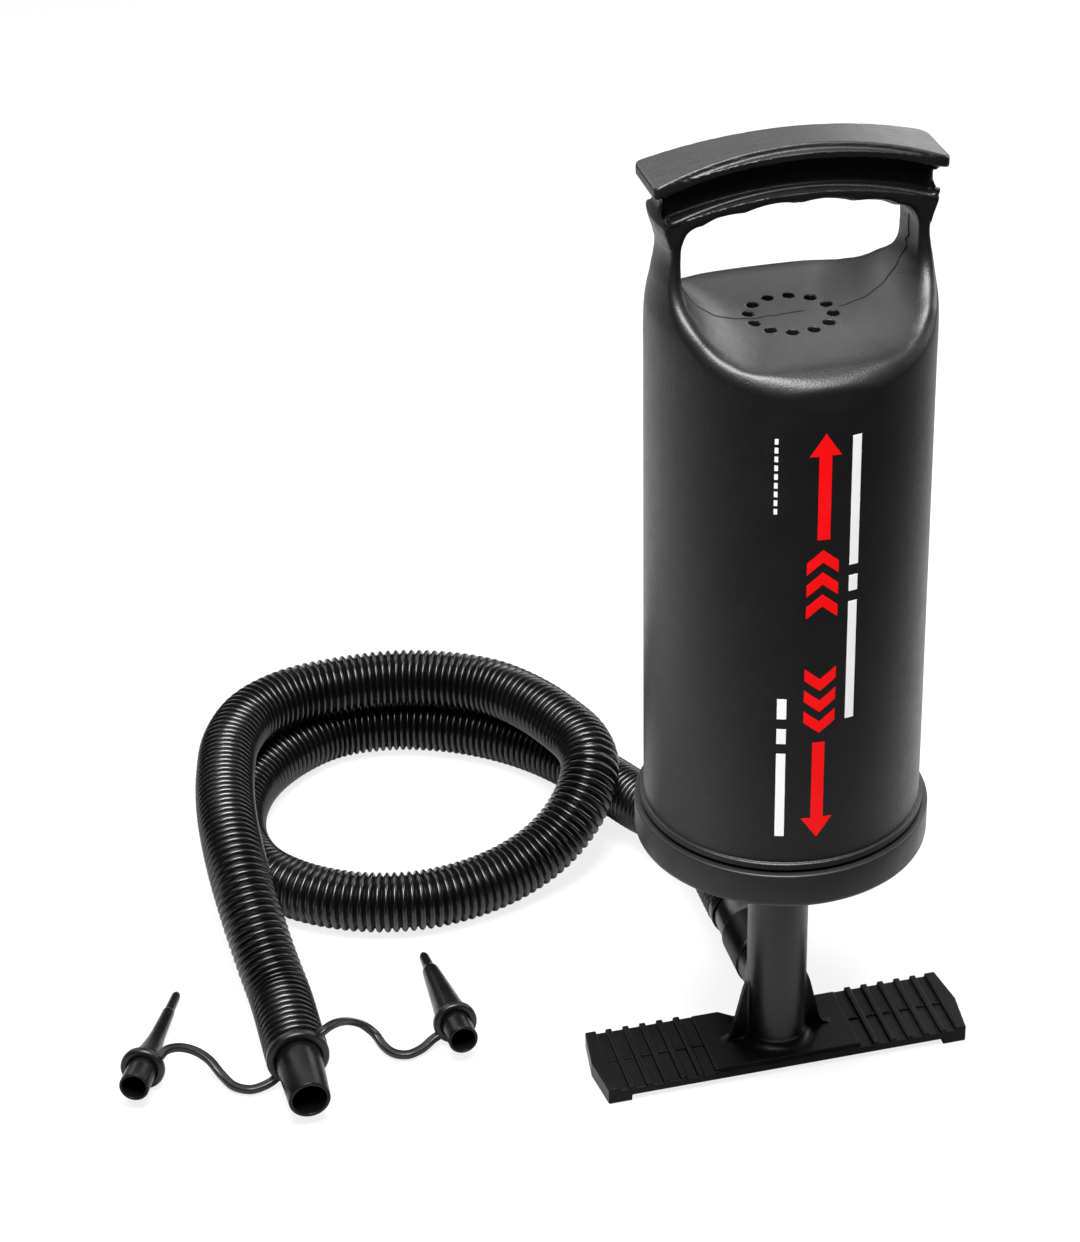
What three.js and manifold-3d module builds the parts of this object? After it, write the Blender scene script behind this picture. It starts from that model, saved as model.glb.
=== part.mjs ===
import * as THREE from 'three';
import { mergeVertices } from 'three/addons/utils/BufferGeometryUtils.js';
import Module from 'manifold-3d';

// Double action hand pump, in millimetres, +Z up. The origin is on the floor under the rod's axis.
// X runs along the foot plate and the handle, and the hose leaves at the back, towards +Y.
// The barrel is modelled pushed right down, which is the lowest place of its stroke.

const wasm = await Module();
wasm.setup();
const { Manifold, Mesh } = wasm;

// Fits
const fitGap = 0.3;
const wideGap = 0.5;
const cutOverrun = 2;
const weldDepth = 0.6;

// Facets
const weldTolerance = 1e-4;
const barrelSides = 36;
const pistonSides = 28;
const rodSides = 24;
const smallSides = 12;
const drillSides = 6;
const filletSteps = 3;
const scallopSides = 72;
const strapSteps = 26;
const arcDivisions = 60;

// Foot plate, with its end pads, treads and middle platform
const footHalfLength = 70.5;
const footEndBulge = 2.2;
const footHalfWidth = 17.7;
const padHeight = 2.6;
const padLength = 9;
const plateThickness = 2.9;
const treadHeight = 1.4;
const treadWidth = 2.5;
const firstTreadOffset = 5.8;
const treadPitch = 6.7;
const treadCount = 5;
const endBarWidth = 4.2;
const platformHalfLength = 28.8;
const platformSetBack = 1.3;
const keyRidgeWidth = 1.3;
const keyRidgeHeight = 0.7;
const notchHalfLength = 20;
const notchFloorShare = 0.65;
const notchFloorY = 12.4;

// Column, rod tube and gussets
const rodRadius = 11.2;
const columnTop = 80;
const columnWall = 2.2;
const baseFilletRadius = 4.2;
const gussetThickness = 3;
const gussetTop = 34;
const gussetReach = 21;
const gussetShares = [[1, 0], [1, 0.05], [0.86, 0.12], [0.77, 0.35], [0.71, 0.54], [0.6, 0.87], [0.52, 1]];
const rodWall = 2;
const spigotLength = 16;
const spigotWall = 1.5;
const neckStep = 2.6;
const neckWall = 1.8;

// Hose port
const portHeight = 30.5;
const portNeckRadius = 11.3;
const portCupRadius = 12;
const portCupWall = 2.2;
const portCupStart = 12.5;
const portCupEnd = 32;
const portBoreRadius = 7;
const cupBoreStart = 14.5;

// Piston
const pistonBoreGap = 1.4;
const pistonTopGap = 1;
const sealSeatDepth = 2.1;
const pistonWallThickness = 1.8;
const pistonPlateThickness = 3;
const pistonChamberHeight = 13.4;
const pistonSocketWall = 3;
const pistonSocketDepth = 8;
const valveCircleInset = 7.5;
const valveHoleRadius = 3.6;
const valveHoleCount = 8;
const discThickness = 1.2;
const discLiftHeight = 1.5;
const pistonDiscInset = 9.9;
const sleeveWall = 3.1;
const sleeveStopWidth = 2.6;
const sleeveStopHeight = 1.3;
const sleeveWindowWidth = 7;
const nutRadius = 13;
const nutCapThickness = 3.1;
const nutGripLength = 6;
const nutSides = 6;
const lipShares = [[0, 0], [0.55, 0], [1, 0.4], [1, 0.62], [0.6, 1], [0, 1]];

// Barrel, from its bottom rim to the deck
const barrelBottomRadius = 49.7;
const barrelTaperDrop = 0.9;
const barrelWall = 3.3;
const barrelRimHeight = 108;
const barrelLength = 200;
const beadStep = 1.3;
const beadRise = 10;
const beadHeight = 2.6;
const beadRounding = 0.7;
const snapRidgeHeight = 0.9;
const snapRise = 2.8;
const snapWidth = 2.2;
const deckThickness = 2.6;
const ceilingInset = 10.4;
const shoulderDrop = 18;
const intakeCircleRadius = 14.2;
const intakeHoleRadius = 2;
const intakeHoleCount = 12;

// Handle and hand hole
const handleRise = 62.9;
const handleArcRadius = 151;
const handleArcSides = 80;
const flangeOverhang = 1.2;
const flangeWaistHalfWidth = 8.1;
const flangeEndHalfWidth = 12.4;
const flangePlanSteps = 8;
const flangeThickness = 4.3;
const railDrop = 15.4;
const handleDrop = 22.2;
const railInset = 0.9;
const webHalfWidth = 4.5;
const pocketEndWall = 4.8;
const postThickness = 8.5;
const handHoleCornerRadius = 7;
const railCoreDrop = 3;
const railFlatHalfWidth = 4;
const scallopRadius = 42;
const scallopDepth = 1;
const scallopPitch = 19.2;
const scallopCount = 4;

// Outlines of the upper end, each as shares of the rise from deck to handle and of a half width:
// the shoulders from the side, the barrel's waist, and one side of the hand hole from the front.
// The hand hole's last two are how much wider it grows towards the front and back, and how far out.
const shoulderShares = [
  [-0.127, 1.033], [-0.067, 0.998], [-0.044, 0.928], [-0.022, 0.857], [0.013, 0.742], [0.068, 0.597],
  [0.119, 0.515], [0.175, 0.399], [0.246, 0.297], [0.317, 0.245], [0.413, 0.221], [0.587, 0.215],
  [1.1, 0.215],
];
const waistShares = [
  [-0.04, 1], [0.095, 0.992], [0.159, 0.98], [0.238, 0.962], [0.325, 0.945], [0.381, 0.932],
  [0.444, 0.922], [0.492, 0.924], [0.548, 0.939], [0.619, 0.967], [0.698, 0.975], [0.81, 0.963],
  [1, 0.963],
];
const handHoleShares = [
  [0, 0.347, 0.3, 0.78], [0.016, 0.521, 0.196, 0.734], [0.041, 0.638, 0.166, 0.66],
  [0.084, 0.744, 0.141, 0.568], [0.132, 0.829, 0.107, 0.492], [0.211, 0.911, 0.084, 0.35],
  [0.292, 0.97, 0.037, 0.26], [0.381, 0.995, 0.007, 0.226], [0.47, 1, 0, 0.22],
];
const dishSectionShares = [0, 0.13, 0.22, 0.3, 0.38, 0.49, 0.6, 0.7, 0.8, 1.1];

// Deck valve
const deckDiscRadius = 18.4;
const cageRadius = 21.4;
const cageWall = 2;
const cageFloorThickness = 1.6;
const cageDepth = 5;
const cageSocketWall = 2.2;
const cageWindowRadius = 3.4;
const cageWindowCircle = 11.5;
const cageWindowCount = 6;

// Bottom cap, guide bush and rod seal
const capHeight = 14;
const capWall = 3;
const capEdgeRadius = 2.6;
const capFloorThickness = 3;
const capLipThickness = 2;
const hubWall = 3.3;
const hubRise = 3.5;
const bushWall = 3.2;
const bushLength = 6.7;
const rodSealLength = 6.4;
const retainerLipThickness = 2;
const retainerFlangeRadius = 26;
const retainerFlangeThickness = 2;
const retainerWall = 2.8;
const capDiscHubGap = 3.5;
const capDiscInset = 7.9;
const capHoleRadius = 2.6;
const capHoleCount = 16;
const gasketThickness = 1.4;

// Hose, its plug, cuff and nozzle
const hoseRadius = 12.2;
const hoseRootRadius = 10.9;
const hoseBoreRadius = 8.3;
const ribPitch = 6.2;
const ribSides = 8;
const ribsPerBoreRing = 5;
const plugCollarRadius = 11;
const plugCollarLength = 12.7;
const cuffRadius = 11.9;
const plugSpigotRadius = 7.2;
const plugBoreRadius = 5.8;
const plugSpigotReach = 11.7;
const nozzleSpigotReach = 13.4;
const nozzleTip = 0;
const nozzleTipRadius = 7.9;
const nozzleBaseRadius = 8.9;
const nozzleBoreRadius = 6.5;

// Tether and adapters
const tetherRingWall = 2.9;
const tetherRingWidth = 4.2;
const strapWidth = 3.2;
const strapDepth = 2.8;
const endRingWall = 2.5;
const endRingWidth = 3.6;
const adapterPlugGap = 0.8;
const adapterWall = 1;
const adapterLength = 68;
const adapterRingStart = 12;
const adapterShoulderRadius = 6.8;
const tipSlotLength = 5;
const tipSlotWidth = 1.4;
const plainConeShares = [
  [0.97, 0], [0.82, 0.08], [0.59, 0.23], [0.43, 0.4], [0.34, 0.65], [0.27, 0.93], [0.18, 1],
];
const steppedConeShares = [
  [0.97, 0], [0.91, 0.03], [0.72, 0.27], [0.485, 0.73], [0.32, 0.8], [0.27, 0.96], [0.18, 1],
];
const boreShares = [[0.19, 1], [0.19, 0.88], [0.32, 0.54], [0.55, 0.41], [1, 0.2], [1, 0]];

// The hose's route, chosen by hand: straight out of the port, down to the floor, once round on
// the floor, up over itself, round again on top and down to the nozzle.
const hoseRoute = [
  [0, 50.3, 30.5], [0, 64, 30.5], [0, 78, 30.5], [0, 84, 30.4],
  [-1.5, 104, 28], [-5.5, 125, 22.5], [-12, 146, 16.5], [-20, 170, 12.8],
  [-30.5, 190.5, 12.4], [-43.5, 208.5, 12.4], [-60, 224, 12.4], [-80, 236, 12.4],
  [-102, 243, 12.4], [-126, 243, 12.4], [-147, 233, 12.4], [-164.5, 216, 12.4],
  [-175.5, 194, 12.4], [-179, 170, 12.4], [-174, 147.5, 12.4], [-160, 129.5, 12.4],
  [-139.5, 116.5, 12.4], [-116, 110.8, 12.4], [-93, 113, 12.4], [-73, 118.8, 14.3],
  [-56, 126, 19.5], [-42, 135.5, 28.5], [-33.5, 149.5, 36.3], [-32.5, 166, 38],
  [-38, 185, 38], [-46.5, 203, 38], [-59, 219.5, 38], [-76, 231, 38],
  [-98, 238.5, 38], [-122, 239.8, 38], [-145, 236.5, 38], [-163.5, 225.5, 38],
  [-175, 207, 38], [-181, 184, 38], [-184.5, 160, 38], [-186, 136, 37.6],
  [-186, 113.5, 34.5], [-184.6, 94.5, 27.5], [-182.2, 77, 18.4], [-180.4, 64, 13.4],
  [-180, 54, 12.4], [-180, 47, 12.4], [-180, 28.6, 12.4],
];

// The straps' routes and the two adapters' places, chosen by hand the same way
const leftStrapRoute = [
  [-187.9, 26.1, 4.9], [-190.4, 25.5, 3.4], [-194, 24.5, 2.6], [-199.1, 24, 2.4], [-204.8, 27.6, 2.5],
  [-208.6, 34, 4], [-212, 39.2, 7.4], [-216.6, 42.2, 10.4], [-222.3, 43.1, 12.7], [-227.6, 41.3, 13.9],
  [-231, 38.2, 13.3],
];
const rightStrapRoute = [
  [-172.4, 26.1, 20], [-170, 26.4, 21.9], [-166.6, 29, 21.9], [-162.2, 34, 19],
  [-157, 39.4, 14], [-151.8, 42, 9], [-147.9, 40.4, 5.2], [-145.6, 35.2, 3], [-142.6, 30.6, 2.4],
  [-137.6, 28.3, 2.4], [-131.8, 30, 2.7], [-126.8, 33, 3.9], [-123.8, 34, 4.8],
];
const leftAdapterMouth = [-242, 26.8, 10.7];
const leftAdapterTip = [-218, 89, 2];
const rightAdapterMouth = [-117.2, 21, 10.7];
const rightAdapterTip = [-119, 89.2, 2];

// Sizes that follow from the ones above, from the rod outwards and up
const columnBoreRadius = rodRadius - columnWall;
const spigotRadius = columnBoreRadius - fitGap;
const spigotBoreRadius = spigotRadius - spigotWall;
const rodBoreRadius = rodRadius - rodWall;
const neckRadius = rodRadius - neckStep;
const neckBoreRadius = neckRadius - neckWall;
const plateHole = neckRadius + fitGap;
const sleeveRadius = plateHole + sleeveWall;
const boreRadius = barrelBottomRadius - barrelWall;
const barrelTopRadius = barrelBottomRadius - barrelTaperDrop;
const sealRadius = boreRadius - wideGap;
const pistonFlangeRadius = boreRadius - pistonBoreGap;
const pistonWallRadius = pistonFlangeRadius - sealSeatDepth;
const pistonDiscRadius = pistonWallRadius - pistonDiscInset;
const valveCircleRadius = pistonDiscRadius - valveCircleInset;
const beadRadius = barrelBottomRadius + beadStep;
const ceilingRadius = boreRadius - ceilingInset;
const capDiscRadius = boreRadius - capDiscInset;
const handHoleHalfWidth = barrelTopRadius - postThickness;
const pocketHalfLength = barrelTopRadius - pocketEndWall;
const flangeHalfLength = barrelTopRadius + flangeOverhang;

const deckTop = barrelRimHeight + barrelLength;
const handleTop = deckTop + handleRise;
const ceiling = deckTop - deckThickness;
const shoulderStart = deckTop - shoulderDrop;
const cageLow = ceiling - cageDepth;
const nutTop = cageLow - pistonTopGap;
const neckTop = nutTop - nutCapThickness - fitGap;
const nutLow = neckTop - nutGripLength;
const upperPlateHigh = nutLow - fitGap;
const upperPlateLow = upperPlateHigh - pistonPlateThickness;
const lowerPlateHigh = upperPlateLow - pistonChamberHeight;
const lowerPlateLow = lowerPlateHigh - pistonPlateThickness;
const rodShoulder = lowerPlateLow - fitGap;
const wallMeet = (lowerPlateHigh + upperPlateLow) / 2;

// Shapes into solids and back
function toSolid(geometry) {
  const bare = geometry.clone();
  bare.deleteAttribute('normal');
  bare.deleteAttribute('uv');
  const merged = mergeVertices(bare, weldTolerance);
  const index = merged.index.array;
  const kept = [];
  for (let i = 0; i < index.length; i += 3) {
    const [a, b, c] = index.slice(i, i + 3);
    if (a !== b && b !== c && c !== a) kept.push(a, b, c);
  }
  return new Manifold(new Mesh({
    numProp: 3,
    vertProperties: new Float32Array(merged.attributes.position.array),
    triVerts: new Uint32Array(kept),
  }));
}

function toGeometry(solid) {
  const mesh = solid.getMesh();
  const geometry = new THREE.BufferGeometry();
  geometry.setAttribute('position', new THREE.BufferAttribute(mesh.vertProperties, 3));
  geometry.setIndex(new THREE.BufferAttribute(mesh.triVerts, 1));
  geometry.computeVertexNormals();
  return geometry;
}

function joined(...solids) {
  return solids.reduce((whole, next) => whole.add(next));
}

function cut(solid, ...tools) {
  return tools.reduce((left, tool) => left.subtract(tool), solid);
}

// Turned shapes: a profile of [radius, height] pairs, anticlockwise, about +Y or +Z
function turnedGeometry(profile, sides) {
  const points = profile.map(([radius, height]) => new THREE.Vector2(Math.max(radius, 0), height));
  const [first, last] = [points[0], points.at(-1)];
  const startsOnAxis = first.x === 0 && last.x === 0;
  if (!startsOnAxis) points.push(first.clone());
  return new THREE.LatheGeometry(points, sides);
}

function turnedAboutZ(profile, sides) {
  return toSolid(turnedGeometry(profile, sides).rotateX(Math.PI / 2));
}

function turnedAboutY(profile, sides, [x, y, z]) {
  return toSolid(turnedGeometry(profile, sides).translate(x, y, z));
}

function ring(inner, outer, low, high, sides) {
  return turnedAboutZ([[inner, low], [outer, low], [outer, high], [inner, high]], sides);
}

function rod(radius, low, high, sides) {
  return turnedAboutZ([[0, low], [radius, low], [radius, high], [0, high]], sides);
}

// Extruded shapes: an outline pushed along Z, Y or X
function pushed(outline, depth) {
  const shape = new THREE.Shape(outline.map(([u, v]) => new THREE.Vector2(u, v)));
  return new THREE.ExtrudeGeometry(shape, { depth, bevelEnabled: false });
}

function upright(outline, low, high) {
  return toSolid(pushed(outline, high - low).translate(0, 0, low));
}

function alongY(outline, from, to) {
  return toSolid(pushed(outline, to - from).rotateX(Math.PI / 2).translate(0, to, 0));
}

function alongX(outline, from, to) {
  const geometry = pushed(outline, to - from).rotateX(Math.PI / 2).rotateZ(Math.PI / 2);
  return toSolid(geometry.translate(from, 0, 0));
}

function block([x0, y0, z0], [x1, y1, z1]) {
  return upright([[x0, y0], [x1, y0], [x1, y1], [x0, y1]], z0, z1);
}

// A row of [u, v] points from one side, closed by its mirror image in the line u = 0
// Rings with the same number of points, joined in turn and closed at both ends
function lofted(rings) {
  const count = rings[0].length;
  const index = [];
  for (let i = 0; i + 1 < rings.length; i += 1) {
    for (let k = 0; k < count; k += 1) {
      const [here, turn] = [i * count + k, i * count + ((k + 1) % count)];
      index.push(here, here + count, turn + count, here, turn + count, turn);
    }
  }
  const last = (rings.length - 1) * count;
  for (let k = 1; k + 1 < count; k += 1) index.push(0, k, k + 1, last, last + k + 1, last + k);
  const geometry = new THREE.BufferGeometry();
  geometry.setAttribute('position', new THREE.Float32BufferAttribute(rings.flat(2), 3));
  geometry.setIndex(index);
  return toSolid(geometry);
}

function mirrored(side) {
  return [...side, ...side.map(([u, v]) => [-u, v]).reverse()];
}

function arc(centreU, centreV, radiusU, radiusV, from, to, steps) {
  return Array.from({ length: steps + 1 }, (_, i) => {
    const angle = from + ((to - from) * i) / steps;
    return [centreU + radiusU * Math.cos(angle), centreV + radiusV * Math.sin(angle)];
  });
}

// The same tool at equal steps round Z
function roundZ(makeTool, count, circleRadius, phase) {
  const tools = Array.from({ length: count }, (_, i) => {
    const angle = phase + (2 * Math.PI * i) / count;
    return makeTool(circleRadius * Math.cos(angle), circleRadius * Math.sin(angle));
  });
  return joined(...tools);
}

function drilled(solid, holeRadius, low, high, count, circleRadius, phase) {
  const drill = turnedGeometry([[0, low], [holeRadius, low], [holeRadius, high], [0, high]], drillSides)
    .rotateX(Math.PI / 2);
  return cut(solid, roundZ((x, y) => toSolid(drill.clone().translate(x, y, 0)), count, circleRadius, phase));
}

// Foot plate with its column and hose port
const plateTop = padHeight + plateThickness;
const treadTop = plateTop + treadHeight;

function footOutline(fromX) {
  const tip = [footHalfLength + footEndBulge, 0];
  return [[fromX, -footHalfWidth], [footHalfLength, -footHalfWidth], tip,
    [footHalfLength, footHalfWidth], [fromX, footHalfWidth]];
}

function bothEnds(makeEnd) {
  const right = makeEnd();
  return right.add(right.rotate([0, 0, 180]));
}

function footPlate() {
  const ends = bothEnds(() => upright(footOutline(-weldDepth), padHeight, plateTop));
  const pads = bothEnds(() => upright(footOutline(footHalfLength - padLength), 0, plateTop));
  const bars = bothEnds(() => upright(footOutline(footHalfLength - endBarWidth), padHeight, treadTop));
  const platform = block(
    [-platformHalfLength, platformSetBack - footHalfWidth, padHeight],
    [platformHalfLength, footHalfWidth - platformSetBack, treadTop],
  );
  const treads = Array.from({ length: treadCount }, (_, i) => bothEnds(() => {
    const middle = platformHalfLength + firstTreadOffset + treadPitch * i;
    return block(
      [middle - treadWidth / 2, -footHalfWidth, padHeight],
      [middle + treadWidth / 2, footHalfWidth, treadTop],
    );
  }));
  const keyRidge = block(
    [-footHalfLength, -keyRidgeWidth / 2, padHeight],
    [footHalfLength, keyRidgeWidth / 2, plateTop + keyRidgeHeight],
  );
  const notch = upright([
    [-notchHalfLength * notchFloorShare, notchFloorY], [notchHalfLength * notchFloorShare, notchFloorY],
    [notchHalfLength, footHalfWidth + fitGap], [notchHalfLength, footHalfWidth + cutOverrun],
    [-notchHalfLength, footHalfWidth + cutOverrun], [-notchHalfLength, footHalfWidth + fitGap],
  ], -cutOverrun, columnTop);
  const fillet = turnedAboutZ([
    [0, plateTop], [rodRadius + baseFilletRadius, plateTop],
    ...arc(rodRadius + baseFilletRadius, treadTop + baseFilletRadius, baseFilletRadius, baseFilletRadius,
      -Math.PI / 2, -Math.PI, filletSteps),
    [0, treadTop + baseFilletRadius],
  ], rodSides);
  return cut(joined(ends, pads, bars, platform, ...treads, keyRidge, fillet), notch);
}

function gussets() {
  const rise = gussetTop - plateTop;
  const side = gussetShares.map(([out, up]) => [gussetReach * out, plateTop + rise * up]);
  return alongY(mirrored(side), -gussetThickness / 2, gussetThickness / 2);
}

function footBase() {
  const cupBoreRadius = portCupRadius - portCupWall;
  const column = rod(rodRadius, plateTop, columnTop, rodSides);
  const port = turnedAboutY([
    [0, 0], [portNeckRadius, 0], [portNeckRadius, portCupStart], [portCupRadius, portCupStart],
    [portCupRadius, portCupEnd], [0, portCupEnd],
  ], rodSides, [0, 0, portHeight]);
  const columnBore = rod(columnBoreRadius, portHeight - portBoreRadius, columnTop + cutOverrun, rodSides);
  const portBore = turnedAboutY([
    [0, 0], [portBoreRadius, 0], [portBoreRadius, cupBoreStart], [cupBoreRadius, cupBoreStart],
    [cupBoreRadius, portCupEnd + cutOverrun], [0, portCupEnd + cutOverrun],
  ], rodSides, [0, 0, portHeight]);
  return cut(joined(footPlate(), gussets(), column, port), columnBore, portBore);
}

// Rod tube: a spigot in the column, the tube, and a windowed neck that carries the piston
const tubeLow = columnTop + fitGap;
const boreStep = rodBoreRadius - spigotBoreRadius;

function sleeveWindows() {
  const low = lowerPlateHigh + discThickness + discLiftHeight;
  const high = upperPlateLow - discThickness - discLiftHeight - sleeveStopHeight - wideGap;
  const across = block(
    [-sleeveRadius - cutOverrun, -sleeveWindowWidth / 2, low],
    [sleeveRadius + cutOverrun, sleeveWindowWidth / 2, high],
  );
  return across.add(across.rotate([0, 0, 90]));
}

function rodTube() {
  const profile = [
    [spigotBoreRadius, tubeLow - spigotLength], [spigotRadius, tubeLow - spigotLength],
    [spigotRadius, tubeLow], [rodRadius, tubeLow], [rodRadius, rodShoulder],
    [neckRadius, rodShoulder], [neckRadius, neckTop], [neckBoreRadius, neckTop],
    [neckBoreRadius, rodShoulder - neckStep], [rodBoreRadius, rodShoulder - neckStep - boreStep],
    [rodBoreRadius, tubeLow + boreStep], [spigotBoreRadius, tubeLow],
  ];
  return cut(turnedAboutZ(profile, rodSides), sleeveWindows());
}

// Piston: two halves with valve holes, two lip seals, a windowed sleeve, two check discs, a cap nut
const sealInner = pistonWallRadius + fitGap;
const discInner = sleeveRadius + fitGap;
const sleeveStopTop = upperPlateLow - 2 * fitGap - discLiftHeight - discThickness;
const upperDiscLow = sleeveStopTop + fitGap;

function pistonLower() {
  const socket = rodRadius + fitGap;
  const socketLow = lowerPlateLow - pistonSocketDepth;
  const profile = [
    [socket, socketLow], [socket + pistonSocketWall, socketLow], [socket + pistonSocketWall, lowerPlateLow],
    [pistonFlangeRadius, lowerPlateLow], [pistonFlangeRadius, lowerPlateHigh],
    [pistonWallRadius, lowerPlateHigh], [pistonWallRadius, wallMeet - fitGap / 2],
    [pistonWallRadius - pistonWallThickness, wallMeet - fitGap / 2],
    [pistonWallRadius - pistonWallThickness, lowerPlateHigh], [plateHole, lowerPlateHigh],
    [plateHole, lowerPlateLow], [socket, lowerPlateLow],
  ];
  return drilled(turnedAboutZ(profile, pistonSides), valveHoleRadius,
    lowerPlateLow - cutOverrun, lowerPlateHigh + cutOverrun, valveHoleCount, valveCircleRadius, 0);
}

function pistonUpper() {
  const profile = [
    [plateHole, upperPlateLow], [pistonWallRadius - pistonWallThickness, upperPlateLow],
    [pistonWallRadius - pistonWallThickness, wallMeet + fitGap / 2],
    [pistonWallRadius, wallMeet + fitGap / 2],
    [pistonWallRadius, upperPlateLow], [pistonFlangeRadius, upperPlateLow],
    [pistonFlangeRadius, upperPlateHigh], [plateHole, upperPlateHigh],
  ];
  return drilled(turnedAboutZ(profile, pistonSides), valveHoleRadius,
    upperPlateLow - cutOverrun, upperPlateHigh + cutOverrun, valveHoleCount, valveCircleRadius, 0);
}

// A lip seal from the flange to the middle of the piston; its lip flares towards the flange
function lipSeal(flangeSide, middleSide) {
  const run = middleSide - flangeSide;
  const flare = sealRadius - sealInner;
  const lip = lipShares.map(([out, up]) => [sealInner + flare * out, flangeSide + run * up]);
  return turnedAboutZ(run > 0 ? lip : lip.reverse(), pistonSides);
}

function pistonSleeve() {
  const low = lowerPlateHigh + fitGap;
  const high = upperPlateLow - fitGap;
  const profile = [
    [plateHole, low], [sleeveRadius, low], [sleeveRadius, sleeveStopTop - sleeveStopHeight],
    [sleeveRadius + sleeveStopWidth, sleeveStopTop - sleeveStopHeight],
    [sleeveRadius + sleeveStopWidth, sleeveStopTop],
    [sleeveRadius, sleeveStopTop], [sleeveRadius, high], [plateHole, high],
  ];
  return cut(turnedAboutZ(profile, rodSides), sleeveWindows());
}

function capNut() {
  return cut(rod(nutRadius, nutLow, nutTop, nutSides),
    rod(plateHole, nutLow - cutOverrun, neckTop + fitGap, rodSides));
}

// Barrel: blow-moulded shell with its deck, shoulders and handle in one
const arcCentre = handleTop - handleArcRadius;
const barrelWidth = 2 * (barrelBottomRadius + cutOverrun);
const barInside = arcCentre + handleArcRadius - handleDrop - railCoreDrop;
const snapLow = barrelRimHeight + snapRise;
const snapHigh = snapLow + snapWidth;
const snapMiddle = (snapLow + snapHigh) / 2;
const beadLow = barrelRimHeight + beadRise;
const beadHigh = beadLow + beadHeight;

function waistPoints() {
  return waistShares.map(([up, out]) => [barrelTopRadius * out, deckTop + handleRise * up]);
}

function barrelBody() {
  const profile = [
    [boreRadius, barrelRimHeight], [barrelBottomRadius, barrelRimHeight], [barrelBottomRadius, snapLow],
    [barrelBottomRadius + snapRidgeHeight, snapMiddle], [barrelBottomRadius, snapHigh],
    [barrelBottomRadius, beadLow],
    [beadRadius, beadLow + beadRounding], [beadRadius, beadHigh - beadRounding],
    [barrelBottomRadius, beadHigh], ...waistPoints(), [0, handleTop], [0, ceiling], [ceilingRadius, ceiling],
    [boreRadius, shoulderStart],
  ];
  return turnedAboutZ(profile, barrelSides);
}

// Seen from the side, the shoulders draw in from the full barrel to the handle's width
function sideView() {
  const side = shoulderShares.map(([up, out]) => [barrelTopRadius * out, deckTop + handleRise * up]);
  const base = [barrelWidth, barrelRimHeight - cutOverrun];
  return alongX(mirrored([base, ...side]), -barrelWidth, barrelWidth);
}

// Seen from the front, the posts end inside the handle's flange
function frontView() {
  const radius = handleArcRadius - flangeThickness / 2;
  const top = arc(0, arcCentre, radius, radius, 0, Math.PI / 2, handleArcSides / 4).slice(0, -1);
  return alongY(mirrored([[radius, barrelRimHeight - cutOverrun], ...top]), -barrelWidth, barrelWidth);
}

// The hand hole: its outline from the front, wider towards the front and back so that the rim stays narrow
function handHoleOutline(y) {
  const side = handHoleShares.map(([up, out, growth, reach]) => {
    const away = Math.min(Math.abs(y) / (barrelTopRadius * reach), 1);
    return [handHoleHalfWidth * (out + growth * away * away), deckTop + handleRise * up];
  });
  const sideTop = side.at(-1)[1];
  const cornerU = handHoleHalfWidth - handHoleCornerRadius;
  const round = handHoleCornerRadius;
  const corner = arc(cornerU, sideTop, round, round, 0, Math.PI / 2, filletSteps).slice(1);
  return mirrored([...side, ...corner, [cornerU, barInside + weldDepth]]);
}

function handHole() {
  const steps = dishSectionShares.map((share) => share * barrelTopRadius);
  const sections = [...steps.slice(1).reverse().map((y) => -y), ...steps];
  return lofted(sections.map((y) => handHoleOutline(y).map(([u, v]) => [u, y, v])));
}

// The room between the posts that the handle's bar then fills
function pocket() {
  const [ends, top] = [pocketHalfLength, handleTop + cutOverrun];
  return block([-ends, -barrelWidth, barInside], [ends, barrelWidth, top]);
}

// The handle's bar, swept round an arc: a flange over a web and a rail, which end in the posts
function swept(halfOutline) {
  const section = [...halfOutline.map(([radius, y]) => [radius, -y]), ...halfOutline.reverse()];
  return turnedAboutY(section, handleArcSides, [0, 0, arcCentre]);
}

// Seen from above, the bar is narrow in the middle and wide at its ends
function handlePlan(inset) {
  const growth = flangeEndHalfWidth - flangeWaistHalfWidth;
  const side = Array.from({ length: flangePlanSteps + 1 }, (_, i) => {
    const along = (2 * i) / flangePlanSteps - 1;
    return [flangeHalfLength * along, flangeWaistHalfWidth + growth * along * along - inset];
  });
  return upright([...side.map(([x, y]) => [x, -y]), ...side.reverse()], deckTop, handleTop + cutOverrun);
}

function handleFlange() {
  const bar = swept([
    [handleArcRadius - flangeThickness, flangeEndHalfWidth + cutOverrun],
    [handleArcRadius, flangeEndHalfWidth + cutOverrun],
  ]);
  return bar.intersect(handlePlan(0));
}

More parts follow.
